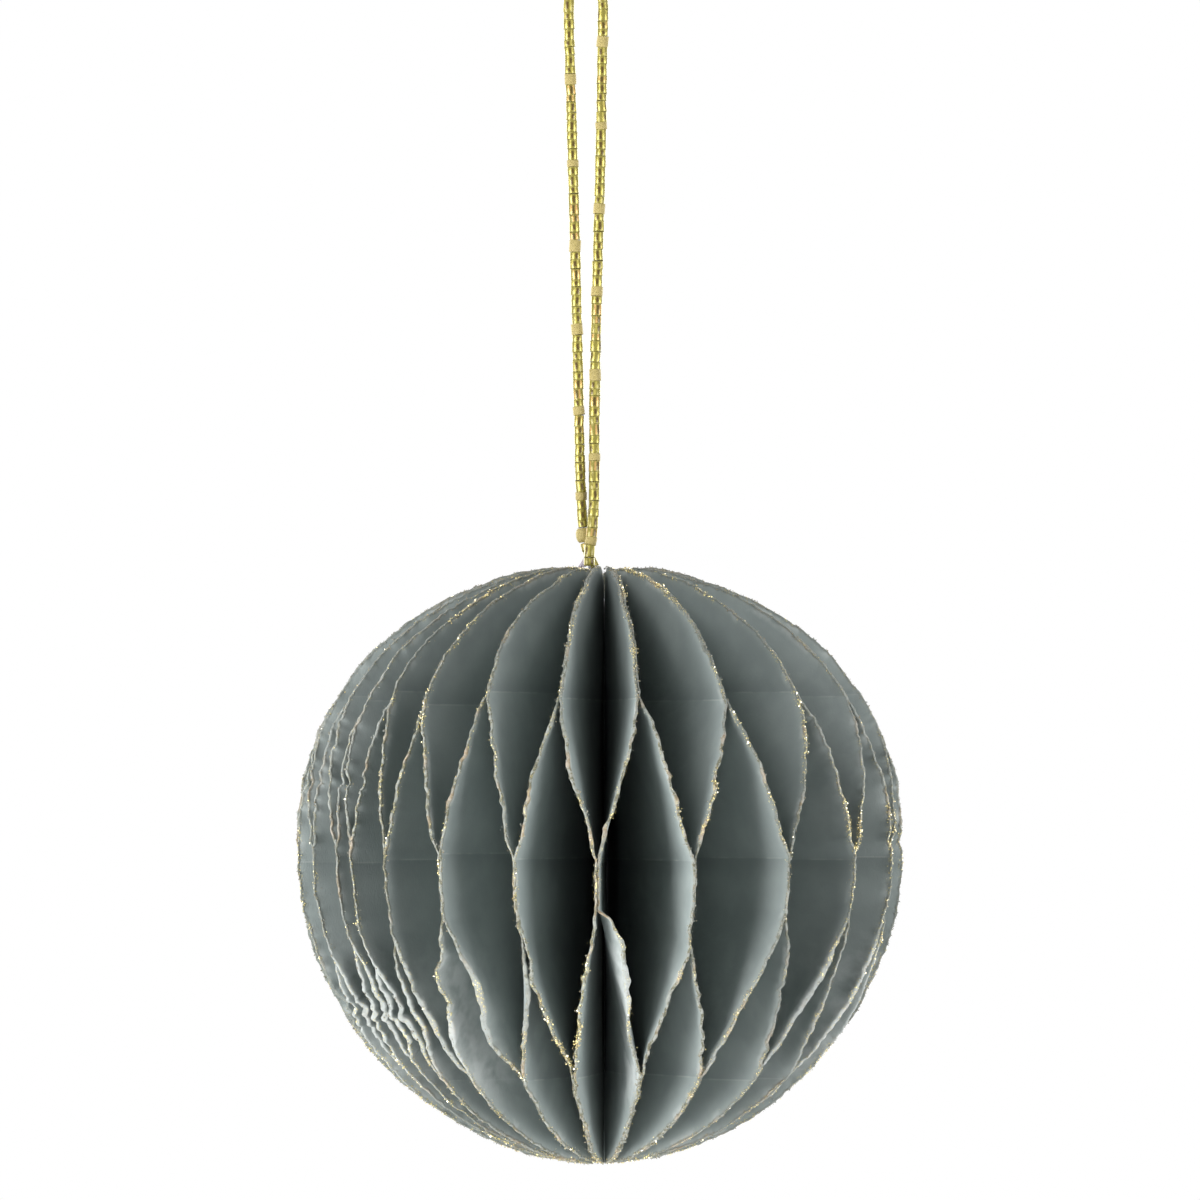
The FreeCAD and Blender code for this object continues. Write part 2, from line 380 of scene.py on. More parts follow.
# ------------------------------------------------------------------------------ finishes
class SharedEffects:
    """Node groups that more than one finish uses."""

    def __init__(self) -> None:
        """Builds the groups once."""
        self.fibres = self._fibres()
        self.grit = self._grit()

    @staticmethod
    def _fibres() -> bpy.types.NodeTree:
        """Pulp fibres: long felted noise for paper and thread.

        Returns:
            A group with the outputs Height and Tone.
        """
        work = GroupWork("pulp_fibres", {"Scale": 1.0, "Stretch": 3.0}, ["Height", "Tone"])
        coords, scale, stretch = work.coords(), work.source["Scale"], work.source["Stretch"]
        long = work.add("CombineXYZ", {0: stretch, 1: stretch, 2: 1.0}).outputs[0]
        drawn = work.add("VectorMath", {0: coords, 1: long}, operation="MULTIPLY").outputs[0]
        fine = work.mottle(drawn, work.times(scale, 1400.0), Detail=4.0, Roughness=0.62, Distortion=1.2)
        cloud = work.mottle(coords, work.times(scale, 130.0), Detail=3.0, Roughness=0.55)
        work.feed(work.result["Height"], fine)
        work.feed(work.result["Tone"], cloud)
        return work.tree

    @staticmethod
    def _grit() -> bpy.types.NodeTree:
        """Grit: small separate specks for torn rims, dust and frosted glass.

        Returns:
            A group with the outputs Mask and Height.
        """
        work = GroupWork("grit", {"Scale": 1.0, "Cover": 0.3}, ["Mask", "Height"])
        scale = work.times(work.source["Scale"], 4200.0)
        cells = work.add("TexVoronoi", {"Vector": work.coords(), "Scale": scale})
        pick = work.add("SeparateColor", {0: cells.outputs["Color"]}).outputs[0]
        near = work.ramp(cells.outputs["Distance"], 0.55, 0.25)
        work.feed(work.result["Mask"], work.times(work.calc("LESS_THAN", pick, work.source["Cover"]), near))
        work.feed(work.result["Height"], near)
        return work.tree


@dataclass(frozen=True)
class PaperFinish:
    """Thick handmade paper with a torn, paler rim that is dusted with gold, painted shade beside its folds
    and along its rim, and frosting that partly paints light.
    """

    body: Colour = (0.308, 0.350, 0.341, 1)
    body_dark: Colour = (0.268, 0.309, 0.302, 1)
    # painted shade beside the folds
    painted_fold_shade: Colour = (0.20, 0.235, 0.23, 1)
    torn: Colour = (0.37, 0.39, 0.355, 1)
    # dark of the torn rim's mottle: the pulp's own olive tone, and painted shade in its fibrous gaps
    torn_tone_and_painted_shade: Colour = (0.17, 0.165, 0.11, 1)
    # painted shade on the outermost rim where it is not frosted
    painted_rim_shade: Colour = (0.18, 0.20, 0.185, 1)
    worn: Colour = (0.42, 0.455, 0.435, 1)
    # frosting colour, which on some leaves also paints the light their lower faces catch
    frost_and_painted_light: Colour = (0.51, 0.545, 0.535, 1)
    glue_line: Colour = (0.44, 0.47, 0.46, 1)
    gold: Colour = (0.80, 0.70, 0.32, 1)
    peach: Colour = (0.62, 0.45, 0.30, 1)

    @staticmethod
    def fold_marks(work: MaterialWork) -> list[Socket]:
        """Marks along the three folds, from the painted heights over them.

        Args:
            work: The material's nodes.

        Returns:
            The narrow pressed lines, and the painted shade just outside the glue bands.
        """
        over = work.add("SeparateXYZ", {0: work.attribute("over_folds", "Vector")})
        upper, middle, lower = over.outputs
        pressed = [work.ramp(work.size(height), 0.16, 0.02) for height in (upper, middle, lower)]
        shade = [work.times(work.ramp(height, 3.2, 0.0), work.ramp(height, -0.06, 0.04))
                 for height in (upper, work.times(middle, -1.0), lower)]
        return [work.most(work.most(*marks[:2]), marks[2]) for marks in (pressed, shade)]

    def make(self, effects: SharedEffects) -> bpy.types.Material:
        """Builds the material.

        Args:
            effects: The shared node groups.

        Returns:
            The paper's material.
        """
        work = MaterialWork("handmade_paper")
        times, plus, minus, ramp, blend = work.times, work.plus, work.minus, work.ramp, work.blend
        fibres = work.place(effects.fibres, Scale=1.0, Stretch=2.2)
        grit = work.place(effects.grit, Scale=0.9, Cover=0.42)
        coords = work.coords()
        rim, dust, bare, frost_and_painted_light = map(work.attribute, ("rim_mm", "gold_dust", "bare_pulp", "frosting_with_painted_light"))
        ragged = work.mottle(coords, 1500.0, Detail=3.0, Roughness=0.6)
        patch = work.mottle(coords, 260.0, Detail=2.0)
        worn = minus(rim, times(ragged, 0.55))
        outermost = ramp(minus(worn, times(patch, 0.35)), -0.04, -0.42)
        torn = times(outermost, ramp(bare, 0.0, 1.0, 0.22, 1.0))
        # the sheet, with painted shade beside its folds, and paler where glue was pressed
        pressed, shade = self.fold_marks(work)
        body = blend(ramp(fibres["Tone"], 0.35, 0.65), self.body_dark, self.body)
        shaded = blend(times(shade, 0.38), body, self.painted_fold_shade)
        glued = blend(times(pressed, ramp(patch, 0.38, 0.58, 0.08, 0.5)), shaded, self.glue_line)
        # frosting that fades inwards from the rim, partly real and partly painted light that brightens the
        # lower faces of some leaves
        dusted = times(frost_and_painted_light, plus(ramp(patch, 0.40, 0.62, 0.30, 0.85), times(minus(ragged, 0.5), 0.5)))
        inwards = plus(ramp(rim, 14.0, 1.0, 0.0, 0.55), ramp(rim, 1.7, 0.4, 0.0, 0.22))
        blotches = times(ramp(patch, 0.53, 0.62, 0.0, 0.75), ramp(worn, 1.1, -0.1))
        frosted = blend(work.most(times(dusted, inwards), blotches), glued, self.frost_and_painted_light)
        # the rim itself: frosting where the leaf is frosted, and painted shade on the outermost rim where it
        # is not
        haze = blend(ramp(rim, 1.6, 0.0, 0.0, 0.3), frosted, self.worn)
        whole = blend(frost_and_painted_light, self.painted_rim_shade, self.frost_and_painted_light)
        pale = blend(times(outermost, 0.9), haze, whole)
        # torn pulp mottled with its own darker tone and painted shade in its fibrous gaps
        mottled = blend(ramp(ragged, 0.42, 0.56), self.torn_tone_and_painted_shade, self.torn)
        edge = blend(torn, pale, mottled)
        tinted = blend(times(torn, ramp(patch, 0.52, 0.68, 0.0, 0.45)), edge, self.peach)
        gilt = times(grit["Mask"], times(dust, ramp(rim, 0.75, 0.1)))
        lift = plus(times(fibres["Height"], 0.5), times(times(torn, ragged), 3.0))
        return work.dress({
            "Base Color": blend(gilt, tinted, self.gold), "Metallic": times(gilt, 0.9),
            "Roughness": ramp(gilt, 0.0, 1.0, 0.92, 0.34), "Specular IOR Level": 0.25,
            "Normal": work.bump(0.55, 0.00012, lift)})


@dataclass(frozen=True)
class GrainFinish:
    """Small grains that cling to the torn rims, and lumps of dried glue or frayed thread."""

    name: str
    colour: Colour
    other: Colour
    metallic: float
    roughness: float

    def make(self, effects: SharedEffects) -> bpy.types.Material:
        """Builds the material.

        Args:
            effects: The shared node groups.

        Returns:
            The grains' material.
        """
        work = MaterialWork(self.name)
        grit = work.place(effects.grit, Scale=0.8, Cover=0.5)
        return work.dress({
            "Base Color": work.blend(work.attribute("tone"), self.colour, self.other),
            "Metallic": self.metallic,
            "Roughness": work.ramp(grit["Mask"], 0.0, 1.0, self.roughness, self.roughness + 0.2)})


@dataclass(frozen=True)
class GoldBeadFinish:
    """Clear glass over a gold-lined hole, drawn with painted near-black reflection lines down the bead, each
    between two painted highlight streaks, and painted shade towards its edges.
    """

    # painted highlight colour of the streaks
    painted_highlight_gold: Colour = (0.47, 0.405, 0.088, 1)
    rim: Colour = (0.235, 0.20, 0.03, 1)
    # painted near-black reflection down the bead
    painted_dark_reflection: Colour = (0.08, 0.045, 0.002, 1)
    # painted shade towards the bead's edges
    painted_edge_shade: Colour = (0.13, 0.12, 0.02, 1)
    peach: Colour = (0.56, 0.34, 0.115, 1)

    def make(self, effects: SharedEffects) -> bpy.types.Material:
        """Builds the gold-lined glass.

        Args:
            effects: The shared node groups.

        Returns:
            The beads' material.
        """
        work = MaterialWork("gold_lined_bead_glass")
        times, plus, minus, ramp, blend = work.times, work.plus, work.minus, work.ramp, work.blend
        tone = work.attribute("tone")
        unrolled = work.add("UVMap", uv_map="round_and_along").outputs[0]
        turn, height = work.add("SeparateXYZ", {0: unrolled}).outputs[:2]
        grit = work.place(effects.grit, Scale=0.5, Cover=0.15)
        fibres = work.place(effects.fibres, Scale=1.4, Stretch=1.0)
        # how far a place is from the nearest painted reflection line, in thirds of a turn, and from the
        # bead's middle
        turned = plus(turn, times(minus(fibres["Height"], 0.5), 0.22))
        corner = work.size(minus(work.calc("FRACT", plus(turned, 0.5)), 0.5))
        middle = work.size(minus(height, 0.5))
        reach = times(tone, 0.14)
        # painted near-black reflection lines, each between two painted highlight streaks in gold
        painted_dark_line = times(ramp(corner, 0.14, 0.06), ramp(middle, plus(reach, 0.32), plus(reach, 0.18)))
        painted_highlight = times(ramp(work.size(minus(corner, 0.25)), 0.11, 0.04), ramp(middle, 0.49, 0.36))
        painted_highlight_colour = blend(ramp(tone, 0.80, 0.93), self.painted_highlight_gold, self.peach)
        lined = blend(painted_dark_line, blend(painted_highlight, self.rim, painted_highlight_colour), self.painted_dark_reflection)
        # painted shade towards the bead's edges, set by how far the surface turns from the view
        facing = work.add("LayerWeight", {"Blend": 0.5}).outputs["Facing"]
        return work.dress({
            "Base Color": blend(ramp(facing, 0.30, 0.85, 0.0, 0.8), lined, self.painted_edge_shade),
            "Metallic": ramp(painted_highlight, 0.0, 1.0, 0.22, 0.50),
            "Roughness": ramp(grit["Mask"], 0.0, 1.0, 0.30, 0.5),
            "Coat Weight": 0.15, "Coat Roughness": 0.12})


@dataclass(frozen=True)
class FrostedFinish:
    """Sandy frosted glass."""

    sand: Colour = (0.41, 0.33, 0.115, 1)
    speck: Colour = (0.31, 0.245, 0.07, 1)

    def make(self, effects: SharedEffects) -> bpy.types.Material:
        """Builds the frosted glass.

        Args:
            effects: The shared node groups.

        Returns:
            The frosted glass material.
        """
        work = MaterialWork("frosted_sand_glass")
        grit = work.place(effects.grit, Scale=1.3, Cover=0.45)
        return work.dress({"Base Color": work.blend(grit["Mask"], self.sand, self.speck), "Roughness": 0.62,
                           "Normal": work.bump(0.6, 0.00006, grit["Height"])})


@dataclass(frozen=True)
class ThreadFinish:
    """Waxed white thread with its twist."""

    shade: Colour = (0.62, 0.60, 0.64, 1)
    light: Colour = (0.78, 0.77, 0.80, 1)

    def make(self, effects: SharedEffects) -> bpy.types.Material:
        """Builds the thread's material.

        Args:
            effects: The shared node groups.

        Returns:
            The thread's material.
        """
        work = MaterialWork("waxed_thread")
        fibres = work.place(effects.fibres, Scale=2.0, Stretch=4.0)
        colour = work.blend(work.ramp(fibres["Tone"], 0.3, 0.7), self.shade, self.light)
        return work.dress({"Base Color": colour, "Roughness": 0.55,
                           "Normal": work.bump(0.5, 0.00005, fibres["Height"])})


# ------------------------------------------------------------------------------ studio
@dataclass
class Studio:
    """Camera, floor, lamps and background, in metres and watts."""

    camera_place: Triple = (0.0, -1.2, 0.010)
    camera_target: Triple = (0.0, 0.0, 0.03525)
    lens: float = 271.6
    sensor: float = 36.0
    nearest: float = 0.01
    floor_height: float = -0.9
    floor_half: float = 1.5
    fill: float = 0.12
    lamp_size: float = 0.9
    lamps: dict[str, tuple[Triple, float]] = field(default_factory=lambda: {
        "left_lamp": ((-1.10, -0.72, -0.30), 23.5),
        "right_lamp": ((1.10, -0.64, -0.30), 14.5),
        "upper_left_lamp": ((-0.85, -0.75, 1.00), 11.5),
        "upper_right_lamp": ((0.95, -0.60, 1.00), 5.4),
        "back_left_lamp": ((-0.80, 1.00, 0.20), 14.0),
        "back_right_lamp": ((0.80, 1.00, 0.20), 14.0)})

    @staticmethod
    def aim(rig: bpy.types.Object, place: Triple, target: Triple) -> None:
        """Puts a camera or a lamp in its place and turns it to a target.

        Args:
            rig: The camera or lamp.
            place: Where it stands.
            target: What it faces.
        """
        rig.location = place
        rig.rotation_euler = (Vector(target) - Vector(place)).to_track_quat("-Z", "Y").to_euler()

    def place_camera(self) -> None:
        """Makes the camera and makes it the scene's own."""
        camera = link_object("camera", bpy.data.cameras.new("camera"))
        camera.data.lens = self.lens
        camera.data.sensor_width = self.sensor
        camera.data.clip_start = self.nearest
        self.aim(camera, self.camera_place, self.camera_target)
        bpy.context.scene.camera = camera
        bpy.context.scene.view_settings.view_transform = "Standard"

    def light(self) -> None:
        """Sets the lamps and a white surround."""
        for name, (place, power) in self.lamps.items():
            lamp = bpy.data.lights.new(name, "AREA")
            lamp.size = self.lamp_size
            lamp.energy = power
            self.aim(link_object(name, lamp), place, (0.0, 0.0, 0.0))
        world = bpy.data.worlds.new("surround")
        bpy.context.scene.world = world
        world.use_nodes = True
        work = NodeWork(world.node_tree)
        rays = work.add("LightPath").outputs
        seen = work.most(work.most(rays["Is Camera Ray"], rays["Is Glossy Ray"]), rays["Is Transmission Ray"])
        background = work.tree.nodes["Background"].inputs
        work.feed(background["Color"], (1, 1, 1, 1))
        work.feed(background["Strength"], work.add("MapRange", {0: seen, 3: self.fill, 4: 1.0}).outputs[0])

    def lay_floor(self) -> None:
        """Lays the plain pale floor under the hanging ball."""
        bm = bmesh.new()
        bmesh.ops.create_grid(bm, x_segments=2, y_segments=2, size=self.floor_half)
        bmesh.ops.translate(bm, verts=bm.verts, vec=(0, 0, self.floor_height))
        mesh = mesh_from(bm, "floor", smooth=False)
        work = MaterialWork("pale_floor")
        pale = work.blend(work.mottle(work.coords(), 6.0), (0.80, 0.80, 0.80, 1), (0.84, 0.84, 0.84, 1))
        mesh.materials.append(work.dress({"Base Color": pale, "Roughness": 0.9}))
        link_object("floor", mesh)
        LOG.info("floor: %.1f m wide", 2 * self.floor_half)


# ------------------------------------------------------------------------------ leaves
@dataclass(frozen=True)
class Joint:
    """A glued joint between two leaves: its angle at the rim, at the spine, and its key for noise."""

    rim: float
    spine: float
    key: int


@dataclass
class PaperBall:
    """Forty-four torn half-disc leaves, glued in three level bands and opened right round.

    Lengths are in millimetres, heights are over the ball's centre, and angles are in degrees. A joint's
    key is 100, 200 or 300 and its number for the top, middle and bottom band; a middle band's lower edge
    has its joint's key and 50. Leaves count from 0 in these tables:

    - known_edges: a joint's key to the height of its band's edge.
    - ripples: size on a free rim, size in a joint, wavelength, and how far in from the rim it reaches.
    - curls: heights and sideways bends of a leaf's rim.
    - frosted: how frosted a leaf's lower part is, partly real frosting and partly painted light on the
      brighter lower faces of some leaves; shares may pass 1, and the finish clamps them.
    - flared: height, spread and extra width where a leaf's torn edge is rolled over.
    - gilded: height and spread of a leaf's patch of gold dust.
    - left_dents, left_crumple, right_dents: depth, height and spread of knocks in the rims at that side,
      where a negative depth is inwards.
    """

    thickness: float = 0.35
    radius: float = 40.2
    reach_above: float = 37.4
    reach_below: float = 41.4
    fullness_above: float = 2.2
    fullness_below: float = 1.93
    top_edge: float = 22.2
    middle_top: float = 1.2
    middle_bottom: float = -5.0
    bottom_edge: float = -27.2
    edge_play: float = 0.7
    known_edges: dict[int, float] = field(default_factory=lambda: {
        104: 21.1, 106: 21.9, 109: 22.8, 110: 22.3, 205: 1.86, 206: 1.2, 207: 0.66, 208: 1.0,
        251: -12.0, 252: -10.9, 253: -11.7, 254: -8.4, 255: -6.5, 256: -9.5, 257: -5.3, 258: -9.0,
        308: -27.2, 310: -27.8})
    side_from: float = 45.0
    rolled_from: float = 40.0
    corner_drop: float = 2.8
    corner_reach: float = 0.95
    columns: int = 420
    strips: tuple[float, ...] = (0.0, 0.12, 0.3, 0.6, 1.1, 1.9, 3.2, 5.2, 8.0)
    inner_shares: tuple[float, ...] = (0.3, 0.55, 0.8, 1.0)
    pulp: float = 1.1
    recess: float = 0.32
    pinch: float = 0.25
    ripples: tuple[tuple[float, float, float, float], ...] = (
        (0.34, 0.16, 9.0, 6.0), (0.13, 0.08, 3.6, 2.2), (0.17, 0.10, 1.9, 1.1), (0.15, 0.12, 0.8, 0.6))
    middle_joints: tuple[float, ...] = (
        -84.5, -69.0, -59.2, -53.9, -44.2, -31.3, -16.1, -0.6, 17.7, 37.6, 56.0, 73.3,
        90.4, 109.6, 126.0, 145.3, 161.6, 180.2, 198.3, 219.0, 236.6, 255.9)
    top_joints: tuple[float, ...] = (
        -82.0, -70.0, -60.6, -51.5, -40.3, -24.5, -8.4, 8.1, 27.3, 47.9, 68.0, 83.5,
        100.4, 117.5, 136.0, 153.2, 171.3, 188.9, 208.9, 227.4, 246.0, 266.2)
    bottom_joints: tuple[float, ...] = (
        -77.0, -65.0, -57.3, -49.6, -38.5, -21.8, -7.3, 10.4, 28.4, 48.5, 65.9, 82.6,
        99.4, 118.4, 135.1, 153.9, 170.4, 189.8, 208.1, 228.3, 245.4, 265.2)
    curls: dict[int, tuple[tuple[float, float], ...]] = field(default_factory=lambda: {
        2: ((-22, 0), (-18, 1), (-15, 1.7), (-12.5, 0.8), (-11, 0)),
        3: ((-24, 0), (-20, 0.5), (-17.4, 1.1), (-14.8, 1.3), (-12.9, 1), (-9, 0)),
        4: ((-24, 0), (-20, 1.1), (-17.4, 1.9), (-14.8, 2.4), (-12.5, 2.2), (-10.5, 0.6), (-9, 0)),
        5: ((-25, 0.4), (-22.4, 2.3), (-21, 1.3), (-18.9, 0.5), (-17, 2.3), (-14.5, 1.5), (-12, 0.8),
            (-9, 0)),
        6: ((-26, 0), (-23, 1.6), (-20.9, 1.4), (-19.3, 0.8), (-16.5, 2.4), (-14.4, 1.7), (-12, 0.8), (-9, 0),
            (3, 0), (8.4, 0.5), (15.8, 0.4), (17.4, 0.8), (21, 0.7), (24, 0)),
        7: ((-27.2, 0.3), (-26, 0.3), (-23.6, 1.2), (-21.3, 1.9), (-19.5, 1.2), (-18.4, 0.7), (-16.4, 1.1),
            (-13.7, 0.6), (-10, 0.3), (-7, 0), (2.6, 0.3), (5.5, 0.8), (8.4, 0.9), (11.3, 0.6), (14.3, 1.1),
            (17.4, 1.1), (21, 0.7), (24, 0)),
        8: ((-27.2, 0), (-23.8, -0.4), (-21.3, -0.3), (-18.8, -0.5), (-14.4, 0), (-10, 0.2), (-8, 0), (3, 0),
            (4.5, 0.15), (7.8, 0.7), (11.3, 0.3), (14.3, 0.6), (17.4, 1.3), (20, 0.5), (22, 0)),
        9: ((-27.2, 0), (-22.5, -0.1), (-19.7, 0), (-17.4, 0.7), (-15.4, -0.5), (-13.1, -1), (-11.7, 0.1),
            (-9.5, 0), (3, 0), (8.4, 0.4), (11.7, 0.75), (16.2, 0.9), (19.5, 0.4), (22, 0)),
        10: ((-27.2, 0), (-25.5, -0.6), (-23, -1.7), (-21, -1.8), (-18.8, -0.5), (-16.5, 0.1), (-13.4, 0.5),
             (-10, 0.3), (-7, 0), (3, 0), (6, -0.3), (8.4, -0.6), (11.9, -0.15), (15.6, 0), (18.2, 0.1),
             (22.2, -0.3), (27, -0.7), (32, -0.8), (37, 0)),
        11: ((-27.2, 0), (-25, 0.5), (-22, 1.3), (-19.5, 1.6), (-16, 1.9), (-13, 1.7), (-9.8, 0.8), (-6, 0),
             (3, 0), (5.5, -0.15), (8.4, 0.35), (11.7, 0.25), (16.2, 0.45), (19.5, 0.2), (22.2, -0.3),
             (27, -0.7), (32, -0.8), (37, 0)),
        12: ((-14, 0), (-11.5, 0.5), (-9.8, 0.9), (-7.5, 0.4), (-6, 0), (3, 0), (7.8, -0.05), (11.7, -0.65),
             (15.2, -0.5), (18.2, -0.15), (22.2, 0)),
        13: ((3, 0), (8.8, -0.2), (12.2, -0.6), (18, -0.1), (22.2, 0)),
        14: ((-27.2, 0), (-25.6, -0.3), (-23, -1.1), (-20.8, -0.9), (-19, -0.2), (-16.8, 0.6), (-13.5, 1.3),
             (-10, 1.5), (-6.6, 1.3), (-5.6, 0)),
        15: ((-16, 0), (-13, 0.4), (-10, 0.4), (-8, 0), (8, 0), (13, 0.4), (16.8, 0.8), (21, 0.2), (22.2, 0)),
        16: ((-27.2, 0), (-24, -0.5), (-20, -0.9), (-15, -0.8), (-11, -0.3), (-9, 0)),
        17: ((-27.2, 0), (-24, -0.5), (-18, -0.4), (-12, 0), (-9.5, 0.3), (-7.5, 0)),
        18: ((-27.2, 0), (-23, -1.1), (-20, -1.4), (-17, -1.2), (-13, -0.4), (-10, 0)),
        19: ((-27.2, -0.5), (-25.2, -1.3), (-23.2, -1.2), (-21.4, -1.2), (-18.9, -1.8), (-15.9, -1.4),
             (-13.6, -0.9), (-10, -0.4), (-8, 0)),
        20: ((-27.8, 0), (-24.8, -1.4), (-22.3, -2.2), (-20, -2.4), (-17.9, -2.2), (-14.8, -1.9),
             (-12.7, -1.4), (-10, -0.5), (-8, 0))})
    # frosting strengths, raised on some leaves to paint the light their lower faces catch
    frosted: dict[int, float] = field(default_factory=lambda: {
        1: 0.8, 2: 0.8, 3: 0.9, 4: 0.8, 5: 0.9, 6: 0.8, 7: 0.8, 8: 0.6, 9: 2.4, 10: 0.6, 11: 0.35,
        14: 3.2, 15: 0.2, 17: 0.45, 18: 0.15, 19: 0.7, 20: 0.6, 21: 1.2, 22: 0.9})
    flared: dict[int, Triple] = field(default_factory=lambda: {
        0: (-18.5, 5.0, 0.40), 1: (-18.5, 5.0, 0.50), 2: (-18.5, 5.0, 0.60), 3: (-18.5, 5.0, 0.65),
        4: (-19.0, 5.0, 0.60), 5: (-19.0, 5.0, 0.65), 6: (-19.5, 5.0, 0.60), 7: (-21.0, 5.0, 0.40),
        8: (-21.0, 6.0, 0.50), 9: (-22.0, 5.0, 0.40), 10: (-17.0, 6.0, 0.60), 11: (-19.0, 5.0, 0.30),
        14: (-14.5, 3.0, 0.30), 19: (-16.0, 6.0, 0.60), 21: (-16.0, 7.0, 0.55), 22: (-18.0, 5.0, 0.35)})
    gilded: dict[int, tuple[float, float]] = field(default_factory=lambda: {
        12: (-22.0, 5.0), 13: (-19.5, 5.0), 14: (30.0, 3.0), 16: (36.0, 4.0), 19: (7.0, 4.0), 20: (5.0, 6.0),
        21: (4.0, 7.0), 22: (2.0, 8.0)})
    left_dents: tuple[Triple, ...] = ((-0.40, 11.1, 0.6), (-0.35, -18.4, 1.1), (0.25, -15.8, 0.8))
    left_crumple: Triple = (0.40, -19.2, 2.8)
    right_dents: tuple[Triple, ...] = ((-0.35, 3.4, 0.8),)
    rims: list[np.ndarray] = field(default_factory=list)
    sides: list[np.ndarray] = field(default_factory=list)
    dusts: list[np.ndarray] = field(default_factory=list)

    @property
    def pitch(self) -> float:
        """Angle from leaf to leaf at the spine."""
        return 180.0 / len(self.middle_joints)

    @property
    def spine_radius(self) -> float:
        """Radius of the hollow spine."""
        return self.thickness / (2 * math.sin(math.radians(self.pitch / 2)))

    def outline(self) -> tuple[np.ndarray, np.ndarray, np.ndarray]:
        """The rim from the top mouth to the bottom one.

        Returns:
            Radii, heights and distances along the rim, evenly spaced.
        """
        waist = (self.reach_below - self.reach_above) / 2
        turns = np.linspace(math.pi / 2, -math.pi / 2, 6001)
        reach = np.where(turns >= 0, self.reach_above, self.reach_below)
        power = 2 / np.where(turns >= 0, self.fullness_above, self.fullness_below)
        radii = self.radius * np.abs(np.cos(turns)) ** power
        heights = waist + np.sign(turns) * reach * np.abs(np.sin(turns)) ** power
        keep = radii >= self.spine_radius
        radii, heights = radii[keep], heights[keep]
        steps = np.concatenate([[0.0], np.cumsum(np.hypot(np.diff(radii), np.diff(heights)))])
        even = np.linspace(0.0, steps[-1], self.columns + 1)
        return np.interp(even, steps, radii), np.interp(even, steps, heights), even

    def sheet_plan(self, radii: np.ndarray, heights: np.ndarray) -> tuple[np.ndarray, np.ndarray, np.ndarray]:
        """The flat half-disc as rows that run inwards from the rim.

        Args:
            radii: The rim's radii.
            heights: The rim's heights.

        Returns:
            Radius, height and distance from the rim, each (columns + 1, rows).
        """
        slope_r, slope_h = np.gradient(radii), np.gradient(heights)
        length = np.hypot(slope_r, slope_h)
        in_r, in_h = slope_h / length, -slope_r / length
        strips = np.array(self.strips)
        plan_r = radii[:, None] + in_r[:, None] * strips
        plan_h = heights[:, None] + in_h[:, None] * strips
        last = strips[-1]
        goal = np.linspace(heights[0] - last - 0.3, heights[-1] + last + 0.3, len(radii))
        shares = np.array(self.inner_shares)
        more_r = plan_r[:, -1:] + (self.spine_radius - plan_r[:, -1:]) * shares
        more_h = plan_h[:, -1:] + (goal[:, None] - plan_h[:, -1:]) * shares
        depth = np.concatenate([strips, last + np.cumsum(np.full(len(shares), 6.0))])
        plan_r = np.concatenate([plan_r, more_r], axis=1)
        plan_h = np.concatenate([plan_h, more_h], axis=1)
        plan_r = np.maximum(plan_r, self.spine_radius)
        # the shoulders round the mouth are full, and the corner beside it is rounded off
        plan_h = plan_h + 0.45 * hump(plan_r, 8.0, 6.0) * ease((plan_h - 25.0) / 12.0)
        near = np.exp(-(plan_r - self.spine_radius) / self.corner_reach)
        plan_h = plan_h - self.corner_drop * near * ease((plan_h - heights[0] + last) / last)
        return plan_r, plan_h, np.broadcast_to(depth, plan_r.shape)

    def line_angles(self, joint: Joint, side: float, radii: np.ndarray) -> np.ndarray:
        """Angles of a leaf's straight line from spine to rim at a joint.

        Args:
            joint: The joint.
            side: Where in the pair: -0.5 is the middle of the leaf before it, 0.5 of the one after.
            radii: Distances from the axis.

        Returns:
            The angle at each radius, in degrees.
        """
        start = outward(np.array(joint.spine + side * self.pitch)) * self.spine_radius
        end = outward(np.array(joint.rim)) * self.radius + along(np.array(joint.rim)) * (side * self.pinch)
        way = end - start
        a, b, c = way @ way, start @ way, start @ start - radii ** 2
        share = (-b + np.sqrt(np.maximum(b * b - a * c, 0.0))) / a
        points = start + share[..., None] * way
        return np.degrees(np.arctan2(points[..., 0], -points[..., 1]))

    def joints_of(self, index: int) -> tuple[Joint, Joint, Joint, float]:
        """The three joints of a leaf.

        Args:
            index: The leaf's place round the ball, from 0.

        Returns:
            Top, middle and bottom joint, and the leaf's side at the outer ones.
        """
        k, after = divmod(index, 2)
        count = len(self.middle_joints)
        spine_turn = sum(self.middle_joints) / count - self.pitch * (count - 1)
        m = k + after
        middle = Joint(self.middle_joints[m % count] + 360.0 * (m // count),
                       spine_turn + 2 * self.pitch * m, 200 + m % count)
        spine = spine_turn + 2 * self.pitch * k + self.pitch
        top, bottom = Joint(self.top_joints[k], spine, 100 + k), Joint(self.bottom_joints[k], spine, 300 + k)
        return top, middle, bottom, after - 0.5

    def edges_of(self, index: int) -> tuple[float, float, float, float]:
        """Heights of the glue bands' edges on a leaf, which differ a little from joint to joint.

        Args:
            index: The leaf's place round the ball.

        Returns:
            Top band's lower edge, middle band's upper and lower edge, bottom band's upper edge.
        """
        top, middle, bottom, _ = self.joints_of(index)
        usual = {top.key: self.top_edge, middle.key: self.middle_top, middle.key + 50: self.middle_bottom,
                 bottom.key: self.bottom_edge}
        return tuple(self.known_edges.get(key, height + random.Random(key).uniform(-1, 1) * self.edge_play)
                     for key, height in usual.items())

